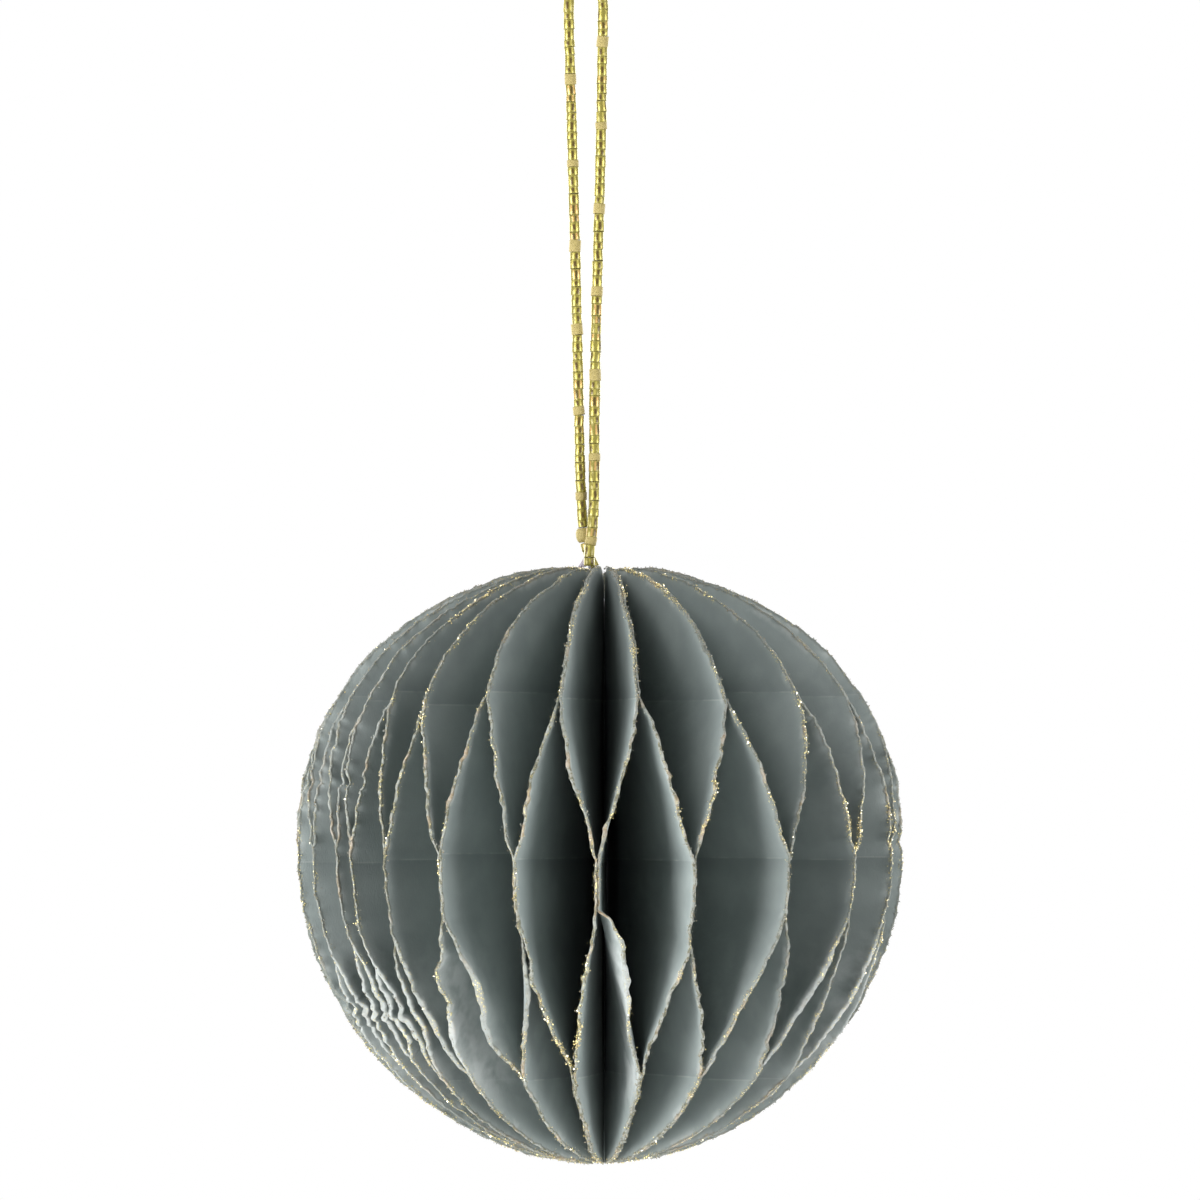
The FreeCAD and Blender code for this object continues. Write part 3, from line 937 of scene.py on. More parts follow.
    def leaf_points(self, index: int, plan: tuple[np.ndarray, np.ndarray, np.ndarray],
                    runs: np.ndarray) -> tuple[np.ndarray, np.ndarray, np.ndarray, np.ndarray, np.ndarray]:
        """Bends the flat half-disc to a leaf's place, with its torn and rippled rim.

        Args:
            index: The leaf's place round the ball.
            plan: Radius, height and distance from the rim.
            runs: Distances along the rim.

        Returns:
            Points in millimetres (columns + 1, rows, 3), the sideways unit vectors at them, the gold
            dust along the rim, which may pass 1 a little, the tightness of the joints along it, from
            0 to 1, and the heights over the upper, middle and lower fold.
        """
        top, middle, bottom, side = self.joints_of(index)
        top_edge, middle_top, middle_bottom, bottom_edge = self.edges_of(index)
        radii, heights, depth = (a.copy() for a in plan)
        key = 400 + index
        rim_h = heights[:, 0]
        # torn rim: coarse tears, small nicks and each leaf's own size
        own = random.Random(key)
        tear = (own.uniform(-0.22, 0.12) + 0.14 * ripple(runs, 5.0, key) + 0.09 * ripple(runs, 1.7, key + 0.5)
                + 0.10 * ripple(runs, 0.7, key + 0.25)) + self.dents(middle.rim, rim_h, runs)
        at_top = ease((rim_h - top_edge + 3.5) / 3.5)
        at_bottom = ease((bottom_edge + 3.5 - rim_h) / 3.5)
        at_middle = ease((middle_top + 3.0 - rim_h) / 3.0) * ease((rim_h - middle_bottom + 3.0) / 3.0)
        tear = tear - self.recess * ((at_top + at_bottom) * self.hidden(top.rim, side)
                                     + at_middle * self.hidden(middle.rim, -side))
        slope_r, slope_h = np.gradient(radii[:, 0]), np.gradient(rim_h)
        length = np.hypot(slope_r, slope_h)
        fade = np.exp(-depth / 1.4)
        radii = radii - (slope_h / length * tear)[:, None] * fade
        heights = heights + (slope_r / length * tear)[:, None] * fade
        radii = np.maximum(radii, self.spine_radius)
        # between the joints
        above = heights > (middle_top + middle_bottom) / 2
        outer = np.where(above, self.line_angles(top, side, radii), self.line_angles(bottom, side, radii))
        inner = self.line_angles(middle, -side, radii)
        share = np.where(above, (top_edge - heights) / (top_edge - middle_top),
                         (heights - bottom_edge) / (middle_bottom - bottom_edge))
        share = np.clip(share, 0.0, 1.0)
        share = 0.85 * share + 0.15 * ease(share)
        angles = outer + ((inner - outer + 180.0) % 360.0 - 180.0) * share
        # ripples, which both leaves of a glued joint share
        joined = np.clip(at_top + at_bottom + at_middle, 0.0, 1.0)
        calm = ease((radii[:, 0] - self.spine_radius) / 9.0)
        shift = np.zeros_like(radii)
        at_side = abs(middle.rim) > self.side_from
        rough = 1.0 + (0.9 * ease((rim_h - 2.0) / 4.0) if at_side else 0.0)
        for size, reach, wave, far in self.ripples:
            alone = size * ripple(runs, wave, key + wave) * (rough if wave < 2.0 else 1.0)
            shared = reach * (at_top * ripple(runs, wave, top.key + wave)
                              + at_middle * ripple(runs, wave, middle.key + wave)
                              + at_bottom * ripple(runs, wave, bottom.key + wave))
            line = (1 - joined) * alone + joined * (shared + 0.10 * alone)
            shift = shift + (line * calm)[:, None] * np.exp(-(depth / far) ** 2)
        if index in self.curls:
            curl = np.array(self.curls[index])
            bend = np.interp(rim_h, curl[:, 0], curl[:, 1], left=0.0, right=0.0)
            shift = shift + bend[:, None] * np.exp(-(depth / 2.2) ** 2)
        sideways = along(angles)
        flat = outward(angles) * radii[..., None] + sideways * shift[..., None]
        points = np.concatenate([flat, heights[..., None]], axis=-1)
        sideways = np.concatenate([sideways, np.zeros_like(heights)[..., None]], axis=-1)
        dust = 0.40 + 0.75 * ripple(runs, 6.0, key + 3) + 0.45 * ripple(runs, 1.9, key + 4)
        spot, spread = self.gilded.get(index, (0.0, 0.0))
        plain = 0.6 * ease(rim_h / 8.0) if at_side else 0.0
        dust = ease(dust) * (1.0 - plain) + (0.9 * hump(rim_h, spot, spread) if spread else 0.0)
        folds = heights[..., None] - np.array([top_edge, middle_top, bottom_edge])
        return points, sideways, dust, joined, folds

    @staticmethod
    def hidden(angle: float, side: float) -> float:
        """How far a leaf lies behind its partner in a joint, seen from the front or the back.

        Args:
            angle: The joint's angle.
            side: The leaf's side of the joint.

        Returns:
            1 behind, 0 before.
        """
        return min(max(5 * math.sin(math.radians(angle)) * math.copysign(1.0, side), 0.0), 1.0)

    @staticmethod
    def bareness(angle: float, key: int, heights: np.ndarray, runs: np.ndarray) -> np.ndarray:
        """How much pale pulp the torn rim shows: most at the waist's front, little above and at the sides;
        where it shows little, the unfrosted rim keeps its painted shade.

        Args:
            angle: The leaf's angle at its middle joint.
            key: The leaf's number for noise.
            heights: Heights along the rim.
            runs: Distances along the rim.

        Returns:
            Shares from 0 to 1.
        """
        usual = (0.85 - 0.60 * ease((heights - 14.0) / 12.0)) * (1.0 if -45.0 <= angle <= 30.0 else 0.45)
        return np.clip(usual + 0.45 * ripple(runs, 4.0, key), 0.0, 1.0)

    def dents(self, angle: float, heights: np.ndarray, runs: np.ndarray) -> np.ndarray:
        """How far the rim is pushed in where the squeezed leaves are knocked.

        Args:
            angle: The leaf's angle at its middle joint.
            heights: Heights along the rim.
            runs: Distances along the rim.

        Returns:
            Outward shifts in millimetres, negative where pushed in.
        """
        shift = np.zeros_like(heights)
        if -90 < angle < -35:
            for depth, spot, spread in self.left_dents:
                shift += depth * hump(heights, spot, spread)
            depth, spot, spread = self.left_crumple
            shift += depth * hump(heights, spot, spread) * ripple(runs, 0.7, angle)
            shift *= 1.0 if angle < -50 else 0.4
        if 70 < angle < 110:
            for depth, spot, spread in self.right_dents:
                shift += depth * hump(heights, spot, spread)
        return shift

    def build(self, paper: bpy.types.Material) -> None:
        """Makes every leaf.

        Args:
            paper: The paper's material.
        """
        radii, heights, runs = self.outline()
        plan = self.sheet_plan(radii, heights)
        rows = plan[0].shape[1] - 1
        bm = bmesh.new()
        bmesh.ops.create_grid(bm, x_segments=self.columns, y_segments=rows, size=1.0)
        blank = mesh_from(bm, "half_disc")
        flat = np.empty(len(blank.vertices) * 3)
        blank.vertices.foreach_get("co", flat)
        flat = flat.reshape(-1, 3)
        column = np.rint((flat[:, 0] + 1) / 2 * self.columns).astype(int)
        row = np.rint((flat[:, 1] + 1) / 2 * rows).astype(int)
        for index in range(2 * len(self.middle_joints)):
            points, sideways, dust, joined, folds = self.leaf_points(index, plan, runs)
            level, angle = points[..., 2], self.joints_of(index)[1].rim
            mesh = blank.copy()
            mesh.name = f"torn_leaf_{index + 1:02d}"
            mesh.vertices.foreach_set("co", (points[column, row] * MM).ravel())
            flare = self.flare(index, level[:, 0], runs)
            bare = np.clip(self.bareness(angle, 600 + index, level[:, 0], runs) - 2.5 * flare, 0.0, 1.0)
            # frosting on the lower part and along the side rims, partly painted light on some lower faces
            frost_and_painted_light = self.frosted.get(index, 0.0) * ease((-5.0 - level) / 9.0) * ease((level + 33.0) / 8.0)
            if abs(angle) > self.side_from:
                frost_and_painted_light = frost_and_painted_light + 0.4 * ease((level - 2.0) / 6.0) * ease((31.0 - level) / 9.0)
            paint(mesh, "rim_mm", plan[2][column, row])
            paint(mesh, "gold_dust", np.minimum(dust, 1.0)[column])
            paint(mesh, "bare_pulp", bare[column])
            paint(mesh, "frosting_with_painted_light", frost_and_painted_light[column, row])
            paint(mesh, "over_folds", folds[column, row])
            mesh.update()
            leaf = make_piece(mesh.name, mesh, [paper])
            weights = self.wall_weights(index, plan[2][0], flare, runs, joined)
            self.thicken(leaf, weights[column, row])
            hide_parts(f"leaf_{index + 1:02d}")
            self.rims.append(points[:, 0])
            self.sides.append(sideways[:, 0])
            self.dusts.append(dust)
        bpy.data.meshes.remove(blank)
        LOG.info("leaves: %d, rim %.1f mm long", len(self.rims), runs[-1])

    def flare(self, index: int, heights: np.ndarray, runs: np.ndarray) -> np.ndarray:
        """How much broader the rim is where the torn edge is rolled over.

        Args:
            index: The leaf's place round the ball.
            heights: Heights along the rim.
            runs: Distances along the rim.

        Returns:
            Extra widths in millimetres.
        """
        spot, spread, extra = self.flared.get(index, (0.0, 1.0, 0.0))
        lumps = 1.0 + 0.4 * ripple(runs, 1.8, 700 + index) + 0.5 * ripple(runs, 0.6, 750 + index)
        lumps = np.clip(lumps, 0.3, 1.7)
        rolled = abs(self.joints_of(index)[1].rim) > self.rolled_from
        sidelong = 0.09 * ease((-6.0 - heights) / 8.0) if rolled else 0.0
        return (extra * hump(heights, spot, spread) + sidelong) * lumps

    def wall_weights(self, index: int, depth: np.ndarray, flare: np.ndarray, runs: np.ndarray,
                     joined: np.ndarray) -> np.ndarray:
        """The paper's thickness as a share of the full wall, swollen and uneven along the torn rim.

        Args:
            index: The leaf's place round the ball.
            depth: Distances of the rows from the rim.
            flare: Extra widths along the rim.
            runs: Distances along the rim.
            joined: Tightness of the joints along the rim.

        Returns:
            Shares from 0 to 1, (columns + 1, rows).
        """
        key = 500 + index
        swell = np.clip(0.09 + 0.15 * ripple(runs, 2.6, key) + 0.15 * ripple(runs, 0.9, key + 0.5), 0.0, 0.42)
        swell = swell * (1 - 0.75 * joined) + flare * (1 - 0.5 * joined)
        shape = np.interp(depth, [0.0, 0.12, 0.35, 1.1, 2.2], [0.45, 0.85, 1.0, 0.35, 0.0])
        wall = 0.29 - 0.02 * joined[:, None] + swell[:, None] * shape[None, :]
        wall[:, 0] -= 0.06
        return np.clip(wall / self.pulp, 0.0, 1.0)

    def thicken(self, leaf: bpy.types.Object, weights: np.ndarray) -> None:
        """Gives a leaf's sheet its wall.

        Args:
            leaf: The leaf's sheet.
            weights: Share of the full wall at each vertex.
        """
        group = leaf.vertex_groups.new(name="pulp")
        for i, weight in enumerate(weights.tolist()):
            group.add((i,), weight, "REPLACE")
        wall = leaf.modifiers.new("paper_wall", "SOLIDIFY")
        wall.thickness = self.pulp * MM
        wall.offset = 0.0
        wall.use_rim = True
        wall.vertex_group = group.name


# ------------------------------------------------------------------------------ grains on the rims
@dataclass
class RimGrains:
    """Loose grains of pulp and gold glitter that cling along the torn rims, in millimetres.

    There are two to the power of doublings of them. They stand off the rim's line by reach, outwards,
    and by a normal spread sideways.
    """

    name: str
    doublings: int
    sizes: tuple[float, float]
    spread: float
    reach: tuple[float, float]
    flatness: float
    seed: int
    follows_dust: bool

    def build(self, ball: PaperBall, material: bpy.types.Material) -> bpy.types.Object:
        """Scatters the grains.

        Args:
            ball: The finished ball, which gives the rims.
            material: The grains' finish.

        Returns:
            The grains' object.
        """
        rng = np.random.default_rng(self.seed)
        count = 2 ** self.doublings
        bm = bmesh.new()
        bmesh.ops.create_uvsphere(bm, u_segments=4, v_segments=2, radius=1.0)
        base = np.array([v.co[:] for v in bm.verts])
        mesh = mesh_from(bm, self.name, smooth=False)
        for _ in range(self.doublings):
            bm = bmesh.new()
            bm.from_mesh(mesh)
            bm.from_mesh(mesh)
            bm.to_mesh(mesh)
            bm.free()
        rims, sides = np.stack(ball.rims), np.stack(ball.sides)
        dusts = np.stack(ball.dusts)
        leaves, columns = dusts.shape
        if self.follows_dust:
            chance = 0.04 + np.minimum(dusts, 1.4) ** 4
        else:
            chance = 0.5 + 0.5 * (1 - np.minimum(dusts, 1.0))
        chance = chance / chance.sum()
        spot = rng.choice(leaves * columns, size=count, p=chance.ravel())
        leaf, column = spot // columns, spot % columns
        column = np.minimum(column, columns - 2)
        step = rng.random(count)[:, None]
        centre = rims[leaf, column] * (1 - step) + rims[leaf, column + 1] * step
        tangent = rims[leaf, column + 1] - rims[leaf, column]
        tangent /= np.linalg.norm(tangent, axis=1, keepdims=True)
        side = sides[leaf, column]
        out = np.cross(tangent, side)
        out *= np.sign(np.sum(out * centre, axis=1, keepdims=True))
        sway = rng.normal(0, self.spread, count)
        lift = rng.uniform(*self.reach, count)
        centre = centre + side * sway[:, None] + out * lift[:, None]
        size = rng.uniform(*self.sizes, count)
        turn = rng.normal(size=(count, 4))
        turn /= np.linalg.norm(turn, axis=1, keepdims=True)
        w, x, y, z = turn.T
        turned = np.stack([
            np.stack([1 - 2 * (y * y + z * z), 2 * (x * y - w * z), 2 * (x * z + w * y)], axis=1),
            np.stack([2 * (x * y + w * z), 1 - 2 * (x * x + z * z), 2 * (y * z - w * x)], axis=1),
            np.stack([2 * (x * z - w * y), 2 * (y * z + w * x), 1 - 2 * (x * x + y * y)], axis=1)], axis=1)
        sides_of = [rng.uniform(0.7, 1.3, count), rng.uniform(0.7, 1.3, count), np.full(count, self.flatness)]
        shape = base[None] * (size[:, None, None] / 2) * np.stack(sides_of, axis=1)[:, None]
        points = np.einsum("nij,nvj->nvi", turned, shape) + centre[:, None]
        mesh.vertices.foreach_set("co", (points * MM).ravel())
        paint(mesh, "tone", np.repeat(rng.random(count), len(base)))
        mesh.update()
        grains = make_piece(self.name, mesh, [material])
        return grains


# ------------------------------------------------------------------------------ hanging loop
@dataclass
class StrungPath:
    """The thread's line as close points, for what is strung along it."""

    points: np.ndarray
    reaches: np.ndarray = field(init=False)

    def __post_init__(self) -> None:
        """Adds up the distances along the line."""
        steps = np.linalg.norm(np.diff(self.points, axis=0), axis=1)
        self.reaches = np.concatenate([[0.0], np.cumsum(steps)])

    @property
    def length(self) -> float:
        """Length of the whole line."""
        return float(self.reaches[-1])

    def at(self, distance: float) -> Vector:
        """Point at a distance along the line."""
        return Vector([float(np.interp(distance, self.reaches, self.points[:, i])) for i in range(3)])

    def way(self, distance: float) -> Vector:
        """Direction of the line at a distance along it."""
        return (self.at(min(distance + 0.1, self.length)) - self.at(max(distance - 0.1, 0.0))).normalized()


@dataclass(frozen=True)
class Bead:
    """One bead's kind, length and place along the thread, in millimetres."""

    kind: BeadKind
    length: float
    distance: float


@dataclass
class HangingLoop:
    """The threaded loop of glass beads and the knot that holds it in the spine.

    Lengths are in millimetres, but for the thread's length in metres. Heights and the route are over
    the mouth of the spine.
    """

    mouth: float
    thread_diameter: float = 0.35
    bead_diameter: float = 1.3
    bead_hole: float = 0.5
    bead_round: float = 0.05
    hole_share: float = 0.92
    bead_gap: float = 0.04
    bead_lengths: tuple[float, ...] = (1.35, 0.9, 1.5, 1.05, 0.85, 1.45, 1.2, 0.95, 1.55, 1.0, 1.3, 0.9, 1.4)
    short_length: float = 0.85
    short_turn: float = 12.0
    frosted_every: int = 9
    large_diameter: float = 2.2
    large_length: float = 2.0
    large_height: float = 5.0
    large_hole: float = 0.7
    first_height: float = 0.2
    knot_depth: float = 4.4
    knot_length: float = 4.0
    knot_turns: int = 6
    knot_rise: float = 0.55
    knot_radius: float = 1.35
    knot_cord: float = 0.34
    dab_halves: Triple = (1.5, 1.4, 1.1)
    dab_rise: float = 3.4
    frayed_hairs: int = 16
    frayed_tip: Triple = (-2.02, 0.30, 1.55)
    length: float = 0.1667
    route: tuple[Triple, ...] = (
        (-0.10, 0.75, -4.40),
        (-0.10, 0.75, -2.40), (-0.45, 0.78, -0.30), (-1.26, 0.85, 1.40), (-1.92, 0.86, 3.10),
        (-2.22, 0.79, 5.30), (-2.44, 0.65, 8.40), (-2.62, 0.45, 13.20), (-2.84, 0.15, 22.20),
        (-3.12, 0.00, 35.60), (-3.62, 0.00, 54.60), (-3.98, 0.00, 67.00), (-4.14, 0.00, 73.00),
        (-4.16, 0.00, 76.05), (-2.84, 0.00, 77.40), (-0.92, 0.00, 77.40), (0.42, 0.00, 76.05),
        (0.40, 0.00, 73.00), (0.26, 0.00, 66.60), (0.10, 0.00, 54.60), (-0.46, 0.00, 35.60),
        (-0.74, -0.15, 21.20), (-0.72, -0.50, 12.40), (-0.80, -0.72, 7.40), (-1.16, -0.80, 4.00),
        (-1.52, -0.76, 1.20), (-1.20, -0.50, -1.60), (-1.20, -0.50, -4.40))

    def lay_thread(self, material: bpy.types.Material) -> tuple[bpy.types.Object, StrungPath]:
        """Lays the thread along its route.

        Args:
            material: The thread's finish.

        Returns:
            The thread and its line.
        """
        curve = bpy.data.curves.new("waxed_loop_thread", "CURVE")
        curve.dimensions = "3D"
        spline = curve.splines.new("NURBS")
        spline.points.add(len(self.route) - 1)
        for point, (x, y, z) in zip(spline.points, self.route):
            point.co = (x * MM, y * MM, (self.mouth + z) * MM, 1.0)
        spline.order_u = 3
        spline.use_endpoint_u = True
        spline.resolution_u = 10
        curve.resolution_u = 10
        thread = link_object(curve.name, curve)
        bpy.context.view_layer.update()
        line = bpy.data.meshes.new_from_object(thread)
        path = StrungPath(np.array([v.co[:] for v in line.vertices]) / MM)
        bpy.data.meshes.remove(line)
        curve.bevel_depth = self.thread_diameter / 2 * MM
        curve.bevel_resolution = 3
        curve.use_fill_caps = True
        curve.materials.append(material)
        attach(thread, "root")
        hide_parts("loop_thread")
        LOG.info("thread: %.2f mm", path.length)
        return thread, path

    def crossing(self, path: StrungPath, height: float, from_end: bool) -> float:
        """Distance at which a strand first rises past a height over the mouth.

        Args:
            path: The thread's line.
            height: The height over the mouth.
            from_end: Whether it is looked for from the line's end.

        Returns:
            The distance along the line.
        """
        step, distance = self.thread_diameter / 2, 0.0
        while path.at(path.length - distance if from_end else distance).z < self.mouth + height:
            distance += step
        return path.length - distance if from_end else distance

    def string(self, path: StrungPath) -> list[Bead]:
        """Works out the beads from the first strand to the last.

        Args:
            path: The thread's line.

        Returns:
            The beads in order.
        """
        distance, last = (self.crossing(path, self.first_height, from_end) for from_end in (False, True))
        large_at = self.crossing(path, self.large_height, False)
        beads, way_before, count = [], None, 0
        while True:
            kind, length = BeadKind.GOLD, self.bead_lengths[count % len(self.bead_lengths)]
            if large_at is not None and distance + length > large_at - self.large_length / 2:
                kind, length, large_at = BeadKind.LARGE, self.large_length, None
            elif count % self.frosted_every == self.frosted_every - 2:
                kind = BeadKind.FROSTED
            turn = 0.0
            if way_before is not None:
                turn = way_before.angle(path.way(distance + length))
                if math.degrees(turn) > self.short_turn and kind is not BeadKind.LARGE:
                    kind, length = BeadKind.GOLD, self.short_length
                    turn = way_before.angle(path.way(distance + length))
            distance += self.bead_gap + self.bead_diameter * math.tan(turn / 2)
            if distance + length > last:
                return beads
            beads.append(Bead(kind, length, distance + length / 2))
            distance += length
            way_before = path.way(distance - length / 2)
            count += 1

    def glass_bead(self, length: float, width: float) -> bmesh.types.BMesh:
        """A drawn glass bead with a square hole and softened ends, upright.

        Args:
            length: Its length.
            width: Its width.

        Returns:
            Its bmesh, in millimetres.
        """
        bm = bmesh.new()
        wall, corner = width / 2, self.bead_hole / math.sqrt(2)
        bmesh.ops.create_cone(bm, cap_ends=False, segments=16, radius1=wall, radius2=wall, depth=length)
        hole = bmesh.ops.create_cone(bm, cap_ends=False, segments=4, radius1=corner, radius2=corner,
                                     depth=length * self.hole_share)
        rings = {e for v in hole["verts"] for e in v.link_edges if e.is_boundary}
        bmesh.ops.subdivide_edges(bm, edges=list(rings), cuts=3)
        open_rings = [e for e in bm.edges if e.is_boundary]
        for end in (-1, 1):
            bmesh.ops.bridge_loops(bm, edges=[e for e in open_rings if e.verts[0].co.z * end > 0])
        bmesh.ops.recalc_face_normals(bm, faces=bm.faces[:])
        outer_rings = [e for e in bm.edges if all(v.co.xy.length > width * 0.45 for v in e.verts)
                       and abs(e.verts[0].co.z - e.verts[1].co.z) < length * 0.1]
        bmesh.ops.bevel(bm, geom=outer_rings, affect="EDGES", offset=self.bead_round, segments=2, profile=0.5,
                        material=-1)
        return bm

    @staticmethod
    def unroll(bm: bmesh.types.BMesh, length: float) -> None:
        """Gives an upright bead a UV map: thirds of a turn round it, and the share of its length.

        Args:
            bm: The bead.
            length: Its length.
        """
        layer = bm.loops.layers.uv.new("round_and_along")
        for face in bm.faces:
            centre = face.calc_center_median()
            home = math.atan2(centre.x, -centre.y)
            for loop in face.loops:
                turn = math.atan2(loop.vert.co.x, -loop.vert.co.y)
                turn = home + (turn - home + math.pi) % math.tau - math.pi
                loop[layer].uv = (turn / (math.tau / 3), loop.vert.co.z / length + 0.5)

    def barrel_bead(self) -> bmesh.types.BMesh:
        """The large bead: a barrel with a round hole and softened ends.

        Returns:
            Its bmesh, in millimetres.
        """
        bm = bmesh.new()
        half, hole = self.large_length / 2, self.large_hole / 2
        chain = [bm.verts.new((hole, 0, -half * self.hole_share))]
        for share in (-0.96, -0.72, -0.38, 0.0, 0.38, 0.72, 0.96):
            angle = math.asin(share) * 0.62
            chain.append(bm.verts.new((self.large_diameter / 2 * math.cos(angle) ** 1.1, 0, half * share)))
        chain.append(bm.verts.new((hole, 0, half * self.hole_share)))
        edges = [bm.edges.new((a, b)) for a, b in zip(chain, chain[1:] + chain[:1])]
        bmesh.ops.spin(bm, geom=chain + edges, cent=(0, 0, 0), axis=UP, angle=math.tau, steps=28,
                       use_merge=True)
        bmesh.ops.remove_doubles(bm, verts=bm.verts, dist=MERGE)
        bmesh.ops.recalc_face_normals(bm, faces=bm.faces[:])
        return bm

    def thread_beads(self, path: StrungPath,
                     finishes: dict[BeadKind, bpy.types.Material]) -> list[bpy.types.Object]:
        """Puts every bead on the thread.

        Args:
            path: The thread's line.
            finishes: The material of each kind.

        Returns:
            One object for each kind.
        """
        pieces_of = {BeadKind.GOLD: ("gold_lined_beads", "gold_beads", "gold_lined_glass"),
                     BeadKind.FROSTED: ("sandy_beads", "frosted_beads", "frosted_glass"),
                     BeadKind.LARGE: ("large_frosted_bead", "large_bead", "frosted_glass")}
        gathered = {kind: bmesh.new() for kind in BeadKind}
        tones = {kind: [] for kind in BeadKind}
        rng = random.Random(7)
        strung = self.string(path)
        for before, bead, after in zip([None, *strung[:-1]], strung, [*strung[1:], None]):
            gap = sum(abs(other.distance - bead.distance) - (other.length + bead.length) / 2
                      for other in (before, after) if other is not None)
            width = self.bead_diameter * (rng.uniform(1.07, 1.22) if bead.kind is BeadKind.GOLD else 1.2)
            if bead.kind is BeadKind.LARGE:
                one = self.barrel_bead()
            else:
                one = self.glass_bead(bead.length + max(0.05, gap * 0.7), width)
            self.unroll(one, bead.length)
            place, way = path.at(bead.distance), path.way(bead.distance)
            spin = Quaternion((0, 0, 1), rng.uniform(-0.30, 0.30))
            turn = UP.rotation_difference(way) if way.z > -0.9999 else Quaternion((1, 0, 0), math.pi)
            tilt = Quaternion((rng.uniform(-1, 1), rng.uniform(-1, 1), 0), rng.uniform(0, 0.11))
            stand = Matrix.Translation(place) @ (turn @ tilt @ spin).to_matrix().to_4x4()
            bmesh.ops.transform(one, matrix=stand, verts=one.verts)
            mesh = mesh_from(one, "one_bead")
            tones[bead.kind] += [rng.random()] * len(mesh.vertices)
            gathered[bead.kind].from_mesh(mesh)
            bpy.data.meshes.remove(mesh)
        pieces = []
        for kind, (name, node, slot) in pieces_of.items():
            bm = gathered[kind]
            bmesh.ops.scale(bm, vec=(MM, MM, MM), verts=bm.verts)
            mesh = bpy.data.meshes.new(name)
            bm.to_mesh(mesh)
            bm.free()
            paint(mesh, "tone", np.array(tones[kind]))
            piece = make_piece(name, mesh, [finishes[kind]])
            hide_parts(node)
            pieces.append(piece)
        return pieces

    def tie_knot(self, material: bpy.types.Material, glue: bpy.types.Material,
                 frayed: bpy.types.Material) -> bpy.types.Object:
        """Ties the knot in the spine, with its glue dab and the trimmed, frayed thread end.

        Args:
            material: The thread's finish.
            glue: The glue's finish.
            frayed: The frayed end's finish.

        Returns:
            The knot.
        """
        bm = bmesh.new()
        rng = random.Random(11)
        low = self.mouth - self.knot_depth - self.knot_length
        for turn in range(self.knot_turns):
            ring = bmesh.ops.create_circle(bm, segments=10, radius=self.knot_cord)
            upright = Matrix.Rotation(math.pi / 2, 3, "X")
            bmesh.ops.rotate(bm, verts=ring["verts"], cent=(0, 0, 0), matrix=upright)
            bmesh.ops.translate(bm, verts=ring["verts"], vec=(self.knot_radius, 0, 0))
            geom = ring["verts"] + list({e for v in ring["verts"] for e in v.link_edges})
            before = set(bm.verts)
            bmesh.ops.spin(bm, geom=geom, cent=(0, 0, 0), axis=UP, angle=math.tau, steps=24, use_merge=True)
            made = [v for v in [v for v in bm.verts if v not in before] + ring["verts"] if v.is_valid]
            lean = Matrix.Rotation(rng.uniform(-0.22, 0.22), 3, (rng.uniform(-1, 1), rng.uniform(-1, 1), 0.0))
            bmesh.ops.rotate(bm, verts=made, cent=(0, 0, 0), matrix=lean)
            shift = (rng.uniform(-0.1, 0.1), rng.uniform(-0.1, 0.1), low + 0.6 + self.knot_rise * turn)
            bmesh.ops.translate(bm, verts=made, vec=shift)
        bmesh.ops.remove_doubles(bm, verts=bm.verts, dist=MERGE)
        for face in bm.faces:
            face.material_index = 0
        dab = bmesh.ops.create_icosphere(bm, subdivisions=3, radius=1.0)
        for vert in dab["verts"]:
            lump = 1 + 0.22 * noise.noise(vert.co * 1.7)
            x, y, z = (part * half * lump for part, half in zip(vert.co, self.dab_halves))
            vert.co = Vector((x, y, z + low + self.dab_rise))
            for face in vert.link_faces:
                face.material_index = 1
        tip = Vector((*self.frayed_tip[:2], self.mouth + self.frayed_tip[2]))
        for strand in range(self.frayed_hairs):
            share = strand / (self.frayed_hairs - 1)
            foot = Vector((-3.0 + 1.15 * share, rng.uniform(0.1, 0.5), self.mouth + 0.05 + 0.02 * strand))
            stray = Vector((rng.uniform(-0.06, 0.02), rng.uniform(-0.1, 0.1), rng.uniform(-0.45, 0.05)))
            way = tip + stray - foot
            hair = bmesh.ops.create_cone(bm, cap_ends=True, segments=6, radius1=0.10, radius2=0.05,
                                         depth=way.length)
            turn = UP.rotation_difference(way.normalized()).to_matrix()
            bmesh.ops.rotate(bm, verts=hair["verts"], cent=(0, 0, 0), matrix=turn)
            bmesh.ops.translate(bm, verts=hair["verts"], vec=foot + way / 2)
            for face in {f for v in hair["verts"] for f in v.link_faces}:
                face.material_index = 2
        bmesh.ops.recalc_face_normals(bm, faces=bm.faces[:])
        bmesh.ops.scale(bm, vec=(MM, MM, MM), verts=bm.verts)
        knot = make_piece("wound_knot", mesh_from(bm, "wound_knot"), [material, glue, frayed])
        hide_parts("loop_knot")
        return knot


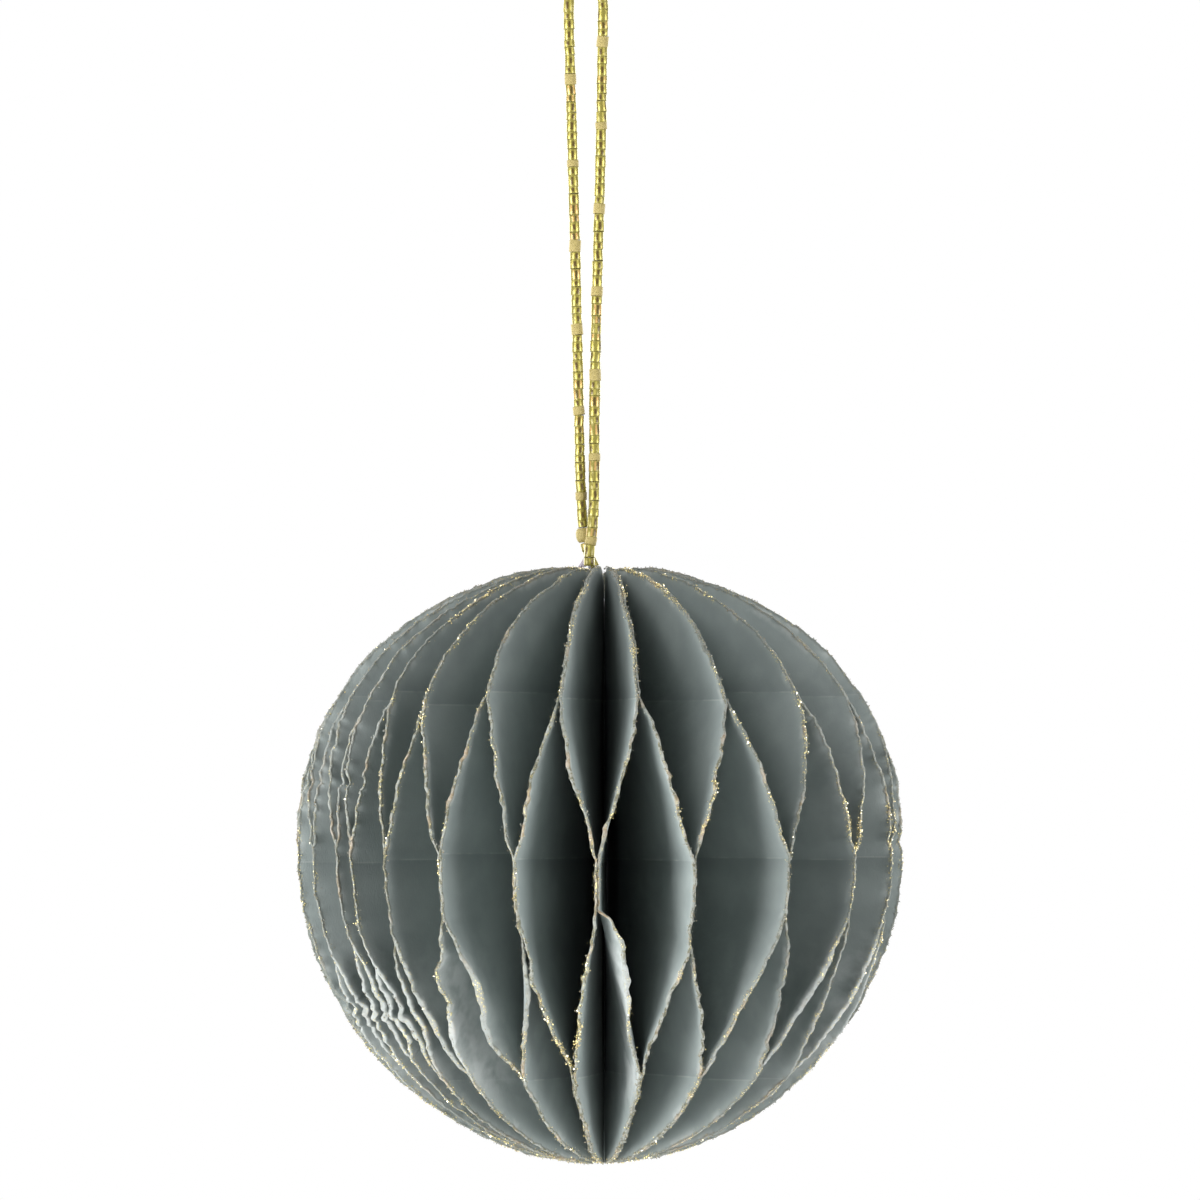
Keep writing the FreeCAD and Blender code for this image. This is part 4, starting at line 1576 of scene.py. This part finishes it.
def grain_finishes(effects: SharedEffects) -> dict[str, bpy.types.Material]:
    """Makes the finishes of the grains, the glue and the frayed thread.

    Args:
        effects: The shared node groups.

    Returns:
        The materials by their names.
    """
    finishes = (
        GrainFinish("dried_glue", (0.86, 0.83, 0.88, 1), (0.78, 0.76, 0.80, 1), 0.0, 0.4),
        GrainFinish("frayed_thread_end", (0.70, 0.64, 0.73, 1), (0.78, 0.74, 0.80, 1), 0.0, 0.6),
        GrainFinish("gold_glitter", (0.92, 0.83, 0.42, 1), (0.74, 0.57, 0.26, 1), 1.0, 0.3),
        GrainFinish("bright_glitter", (1.0, 0.97, 0.80, 1), (0.98, 0.88, 0.60, 1), 1.0, 0.15),
        GrainFinish("pulp_crumbs", (0.38, 0.40, 0.37, 1), (0.32, 0.27, 0.18, 1), 0.0, 0.85))
    return {finish.name: finish.make(effects) for finish in finishes}


def main() -> None:
    """Builds the whole scene in order."""
    logging.basicConfig(level=logging.INFO, format="%(name)s: %(message)s")
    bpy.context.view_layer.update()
    studio, ball, effects = Studio(), PaperBall(), SharedEffects()
    studio.place_camera()
    thread_finish, frosted = ThreadFinish().make(effects), FrostedFinish().make(effects)
    grains = grain_finishes(effects)
    loop = HangingLoop(mouth=ball.outline()[1][0])
    thread, path = loop.lay_thread(thread_finish)
    beads = loop.thread_beads(path, {
        BeadKind.GOLD: GoldBeadFinish().make(effects), BeadKind.FROSTED: frosted, BeadKind.LARGE: frosted})
    x, y, z = loop.route[0]
    loop.length
    loop.tie_knot(thread_finish, grains["dried_glue"], grains["frayed_thread_end"])
    ball.build(PaperFinish().make(effects))
    # finish, name, doublings, sizes, spread, reach, flatness, seed and whether they follow the gold dust
    for finish, *grain in (
            ("pulp_crumbs", "rim_crumbs", 14, (0.10, 0.30), 0.17, (-0.35, 0.12), 0.8, 3, False),
            ("pulp_crumbs", "rim_fine_crumbs", 14, (0.07, 0.20), 0.19, (-0.45, 0.14), 0.8, 6, False),
            ("gold_glitter", "rim_glitter_a", 13, (0.09, 0.26), 0.20, (-0.45, 0.14), 0.35, 4, True),
            ("gold_glitter", "rim_glitter_b", 13, (0.05, 0.17), 0.21, (-0.55, 0.12), 0.35, 5, True),
            ("bright_glitter", "rim_sparkles", 9, (0.24, 0.38), 0.16, (0.0, 0.14), 0.5, 8, True)):
        RimGrains(*grain).build(ball, grains[finish])
    studio.light()
    studio.lay_floor()


if __name__ == "__main__":
    main()
